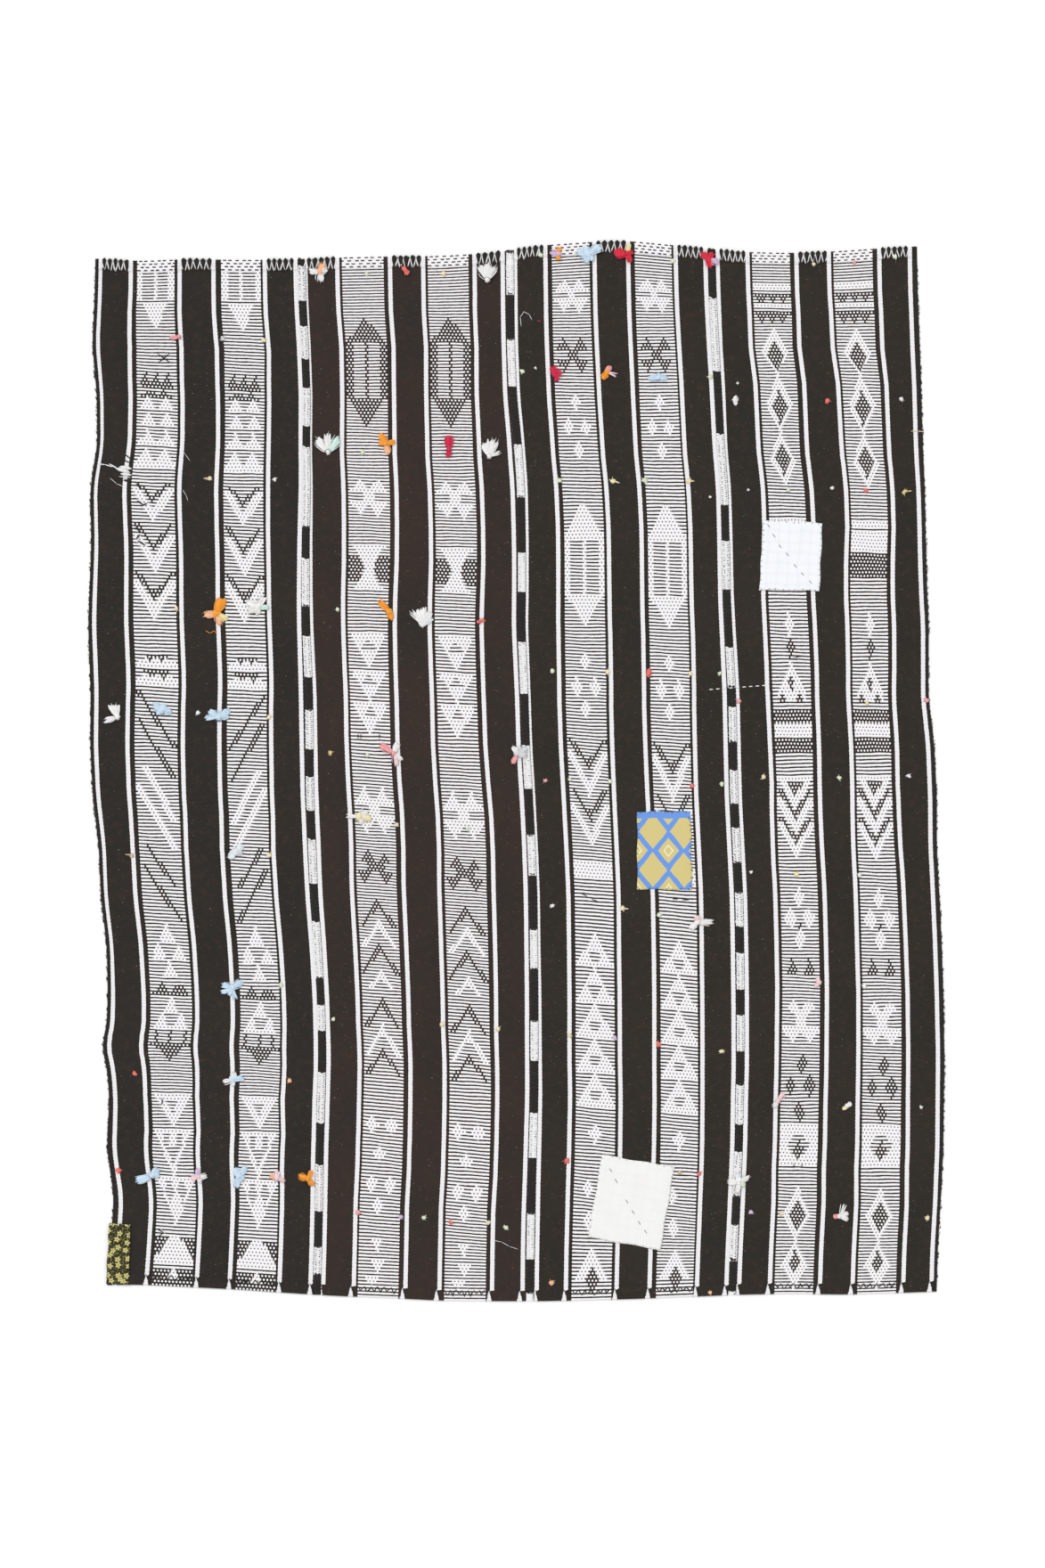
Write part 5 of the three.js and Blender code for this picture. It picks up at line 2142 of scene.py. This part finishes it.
# Loose threads: dye, thickness in millimetres and the pixels that they run through
THREADS = (
    ("white", 2.4, (111, 521), (118, 521.5), (126, 524)),
    ("white", 3.2, (123, 521), (132, 526), (138, 528)), ("white", 8, (131, 526), (145, 530)),
    ("white", 7, (135, 524), (147, 526)), ("white", 6, (136, 532), (147, 533)),
    ("white", 2, (134, 535), (146, 536)), ("ink", 4.5, (139, 539), (147, 540)),
    ("ink", 2.4, (140, 510), (147, 515)), ("ink", 2.2, (139, 516), (146, 520)),
    ("ink", 2.2, (177, 397), (191, 407)), ("ink", 2.2, (178, 407), (190, 397)),
    ("ink", 3.2, (153, 543), (158, 548)), ("ink", 3, (154, 562), (160, 566)),
    ("ink", 3, (158, 568), (165, 565)), ("ink", 3.2, (152, 592), (158, 597)),
    ("ink", 3, (157, 600), (153, 605)), ("ink", 3.2, (155, 607), (163, 612)),
    ("ink", 2, (181, 1233), (183, 1236), (181, 1240)), ("ink", 2, (177, 1380), (184, 1383), (178, 1388)),
    ("white", 1.6, (179, 1378), (186, 1385)), ("ink", 1.8, (891, 738), (902, 736)),
    *(("ink", 1.8, (px, py), (px + dx, py + dy)) for px, py, dx, dy in (
        (402, 824, 0, 5), (405, 824, 0, 5), (426, 824, 0, 5), (755, 1009, 6, 0), (766, 1010, 7, 0),
        (653, 1003, 6, 3), (664, 1009, 7, 3), (891, 1306, 0, 5), (900, 1306, 0, 5))),
    ("white", 1.2, (585, 366), (584, 356), (588, 350), (594, 353), (597, 359)),
    ("crimson", 1.6, (603, 360), (607, 361)), ("white", 1, (204, 505), (208, 510), (213, 517)),
    ("white", 1, (205, 550), (209, 556), (211, 562)), ("white", 1.1, (124, 537), (131, 543), (138, 546)),
    ("white", 1, (553, 1392), (563, 1394), (572, 1399), (581, 1402)),
    ("orange", 1.3, (231, 708), (236, 711), (240, 708), (244, 711)),
    ("cream", 1.6, (1023, 484), (1030, 484), (1037, 484.5)),
    ("white", 1.3, (1010, 1270), (1011, 1276), (1009, 1282)),
)
# Pixels that the running stitches start at
RUNNING = tuple((796 + 7.4 * n, 774 - 0.55 * n) for n in range(9))


@dataclass
class SmallSewing:
    """Small knots, loose threads and running stitches over the face. Sizes are in metres."""

    yarn: bpy.types.Material
    fullness: float = 1.2
    turns: int = 5
    wisps: int = 3
    running_px: tuple[float, float] = (4.6, -0.3)
    running_width: float = 0.0024
    running_height: float = 0.0014
    dice: random.Random = field(default_factory=lambda: random.Random(77))

    def spot(self, px: float, py: float, lift: float) -> Vector:
        """Place on the cloth under a pixel of the photograph.

        Args:
            px: Column of the photograph.
            py: Row of the photograph.
            lift: Height above what lies there.

        Returns:
            The place.
        """
        x, y = across(px), along(py)
        level = CLOTH
        if any(abs(x - OUTLINE.line(name, y)) < SEAM_WIDTH / 2 for name in ("seam1", "seam2", "seam3")):
            level = SEAM_CROWN - 0.0006
        elif OUTLINE.end("top", x) - y < HEM_DEPTH or y - OUTLINE.end("bottom", x) < HEM_DEPTH:
            level = HEM
        return Vector((x, y, level + lift))

    def build(self) -> None:
        """Builds the knots as one piece and the threads as another."""
        knots = Strands(4, 4)
        for row in KNOTS:
            self.knot(knots, row)
        knots.settle("small_knots", self.yarn, "tuft_cream")
        threads = Strands(4, 4)
        for dye, wide, *path in THREADS:
            for start, end in zip(path, path[1:]):
                a, b = self.spot(*start, 0.0006), self.spot(*end, 0.0006)
                past = (b - a) * 0.08
                threads.add(a - past, b + past, wide / 1000, wide / 1300, linear(DYES[dye]), (0, 0, 0.0004))
        for px, py in RUNNING:
            start = self.spot(px, py, 0.0003)
            end = (across(px + self.running_px[0]), along(py + self.running_px[1]), start.z)
            threads.add(start, end, self.running_width, self.running_height, linear(DYES["white"]),
                        (0, 0, 0.0005))
        threads.settle("loose_threads", self.yarn, "tuft_white")

    def knot(self, knots: Strands, row: KnotRow) -> None:
        """Adds one knot of a few crossing turns with thin wisps over them.

        Args:
            knots: Where it goes.
            row: Its row of the table.
        """
        root = self.spot(row.px, row.py, 0.0003)
        size = row.size * self.fullness / 1000
        draw = self.dice.uniform
        for n in range(self.turns + self.wisps):
            turn = draw(0, math.pi)
            wisp = n >= self.turns
            reach = size * (draw(0.6, 0.95) if wisp else draw(0.42, 0.56))
            middle = root + Vector((draw(-0.16, 0.16), draw(-0.16, 0.16), 0)) * size
            dye = uneven(row.dye, self.dice, 1.08)
            arm = Vector((math.cos(turn), math.sin(turn), 0)) * reach
            width = size * (0.16 if wisp else draw(0.6, 0.75))
            knots.add(middle - arm, middle + arm, width, 0.001 if wisp else 0.0018, dye, (0, 0, 0.0013))
        if any(row.tail):
            end = root + Vector((row.tail[0] / 1000, row.tail[1] / 1000, 0.0002))
            knots.add(root + Vector((0, 0, 0.0007)), end, size * 0.28, 0.0011, linear(DYES[row.dye]),
                      (0, 0, 0.0004))


# The studio


@dataclass
class Studio:
    """The floor, the soft light and the camera straight above the rug."""

    view_px: tuple[float, float] = (586.5, 880.0)
    view_height: float = 1760 * PIXEL
    lens: float = 100.0
    sensor: float = 36.0
    floor_size: float = 60.0
    floor_drop: float = 0.0001
    sky: float = 0.8
    sun: float = 1.1
    sun_spread: float = 25.0
    sun_turn: tuple[float, float] = (-28.0, -32.0)

    def build(self) -> None:
        """Builds the camera, the floor and the lights."""
        self.place_camera()
        self.lay_floor()
        self.light()

    def place_camera(self) -> None:
        """Hangs the camera where the photographed height fills the picture's."""
        scene = bpy.context.scene
        scene.view_settings.view_transform = "Standard"
        camera = bpy.data.objects.new("camera", bpy.data.cameras.new("camera"))
        camera.data.lens, camera.data.sensor_width = self.lens, self.sensor
        camera.data.clip_end = 100
        distance = self.view_height * self.lens / self.sensor
        camera.location = (across(self.view_px[0]), along(self.view_px[1]), distance + CLOTH)
        scene.collection.objects.link(camera)
        scene.camera = camera

    def lay_floor(self) -> None:
        """Lays the paper that the rug lies on."""
        work = bmesh.new()
        bmesh.ops.create_grid(work, x_segments=4, y_segments=4, size=self.floor_size / 2)
        bmesh.ops.translate(work, verts=work.verts[:], vec=(0, 0, -self.floor_drop))
        mesh = freeze(work, "floor")
        mesh.materials.append(StudioFloor().dress())
        floor = bpy.data.objects.new("floor", mesh)
        bpy.context.scene.collection.objects.link(floor)

    def light(self) -> None:
        """Makes the white surround and one wide soft light."""
        scene = bpy.context.scene
        world = bpy.data.worlds.new("studio")
        world.use_nodes = True
        back = world.node_tree.nodes["Background"]
        back.inputs[0].default_value = (1, 1, 1, 1)
        back.inputs[1].default_value = self.sky
        scene.world = world
        light = bpy.data.lights.new("softbox", "SUN")
        light.energy = self.sun
        light.angle = math.radians(self.sun_spread)
        lamp = bpy.data.objects.new("softbox", light)
        turns = (Matrix.Rotation(math.radians(turn), 4, axis) for turn, axis in zip(self.sun_turn, "YX"))
        lamp.matrix_world = next(turns) @ next(turns)
        scene.collection.objects.link(lamp)


def main() -> None:
    """Builds the kilim piece by piece, then the studio."""
    Studio().build()
    join_yarn = LooseYarn("twisted wool sewing yarn", 0.0011, 0.5, 0.1).dress()
    tuft_yarn = LooseYarn("soft dyed tuft yarn", 0.0009, 0.6, 0.22).dress()
    cloth = strips()
    for strip in cloth:
        strip.build()
    for strip in cloth:
        strip.declare()
    Joins(join_yarn).build()
    HemSewing(join_yarn, cloth).build()
    Patches(join_yarn, [strip.piece.name for strip in cloth]).build()
    Tufts(tuft_yarn).build()
    SmallSewing(tuft_yarn).build()
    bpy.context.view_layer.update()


if __name__ == "__main__":
    main()
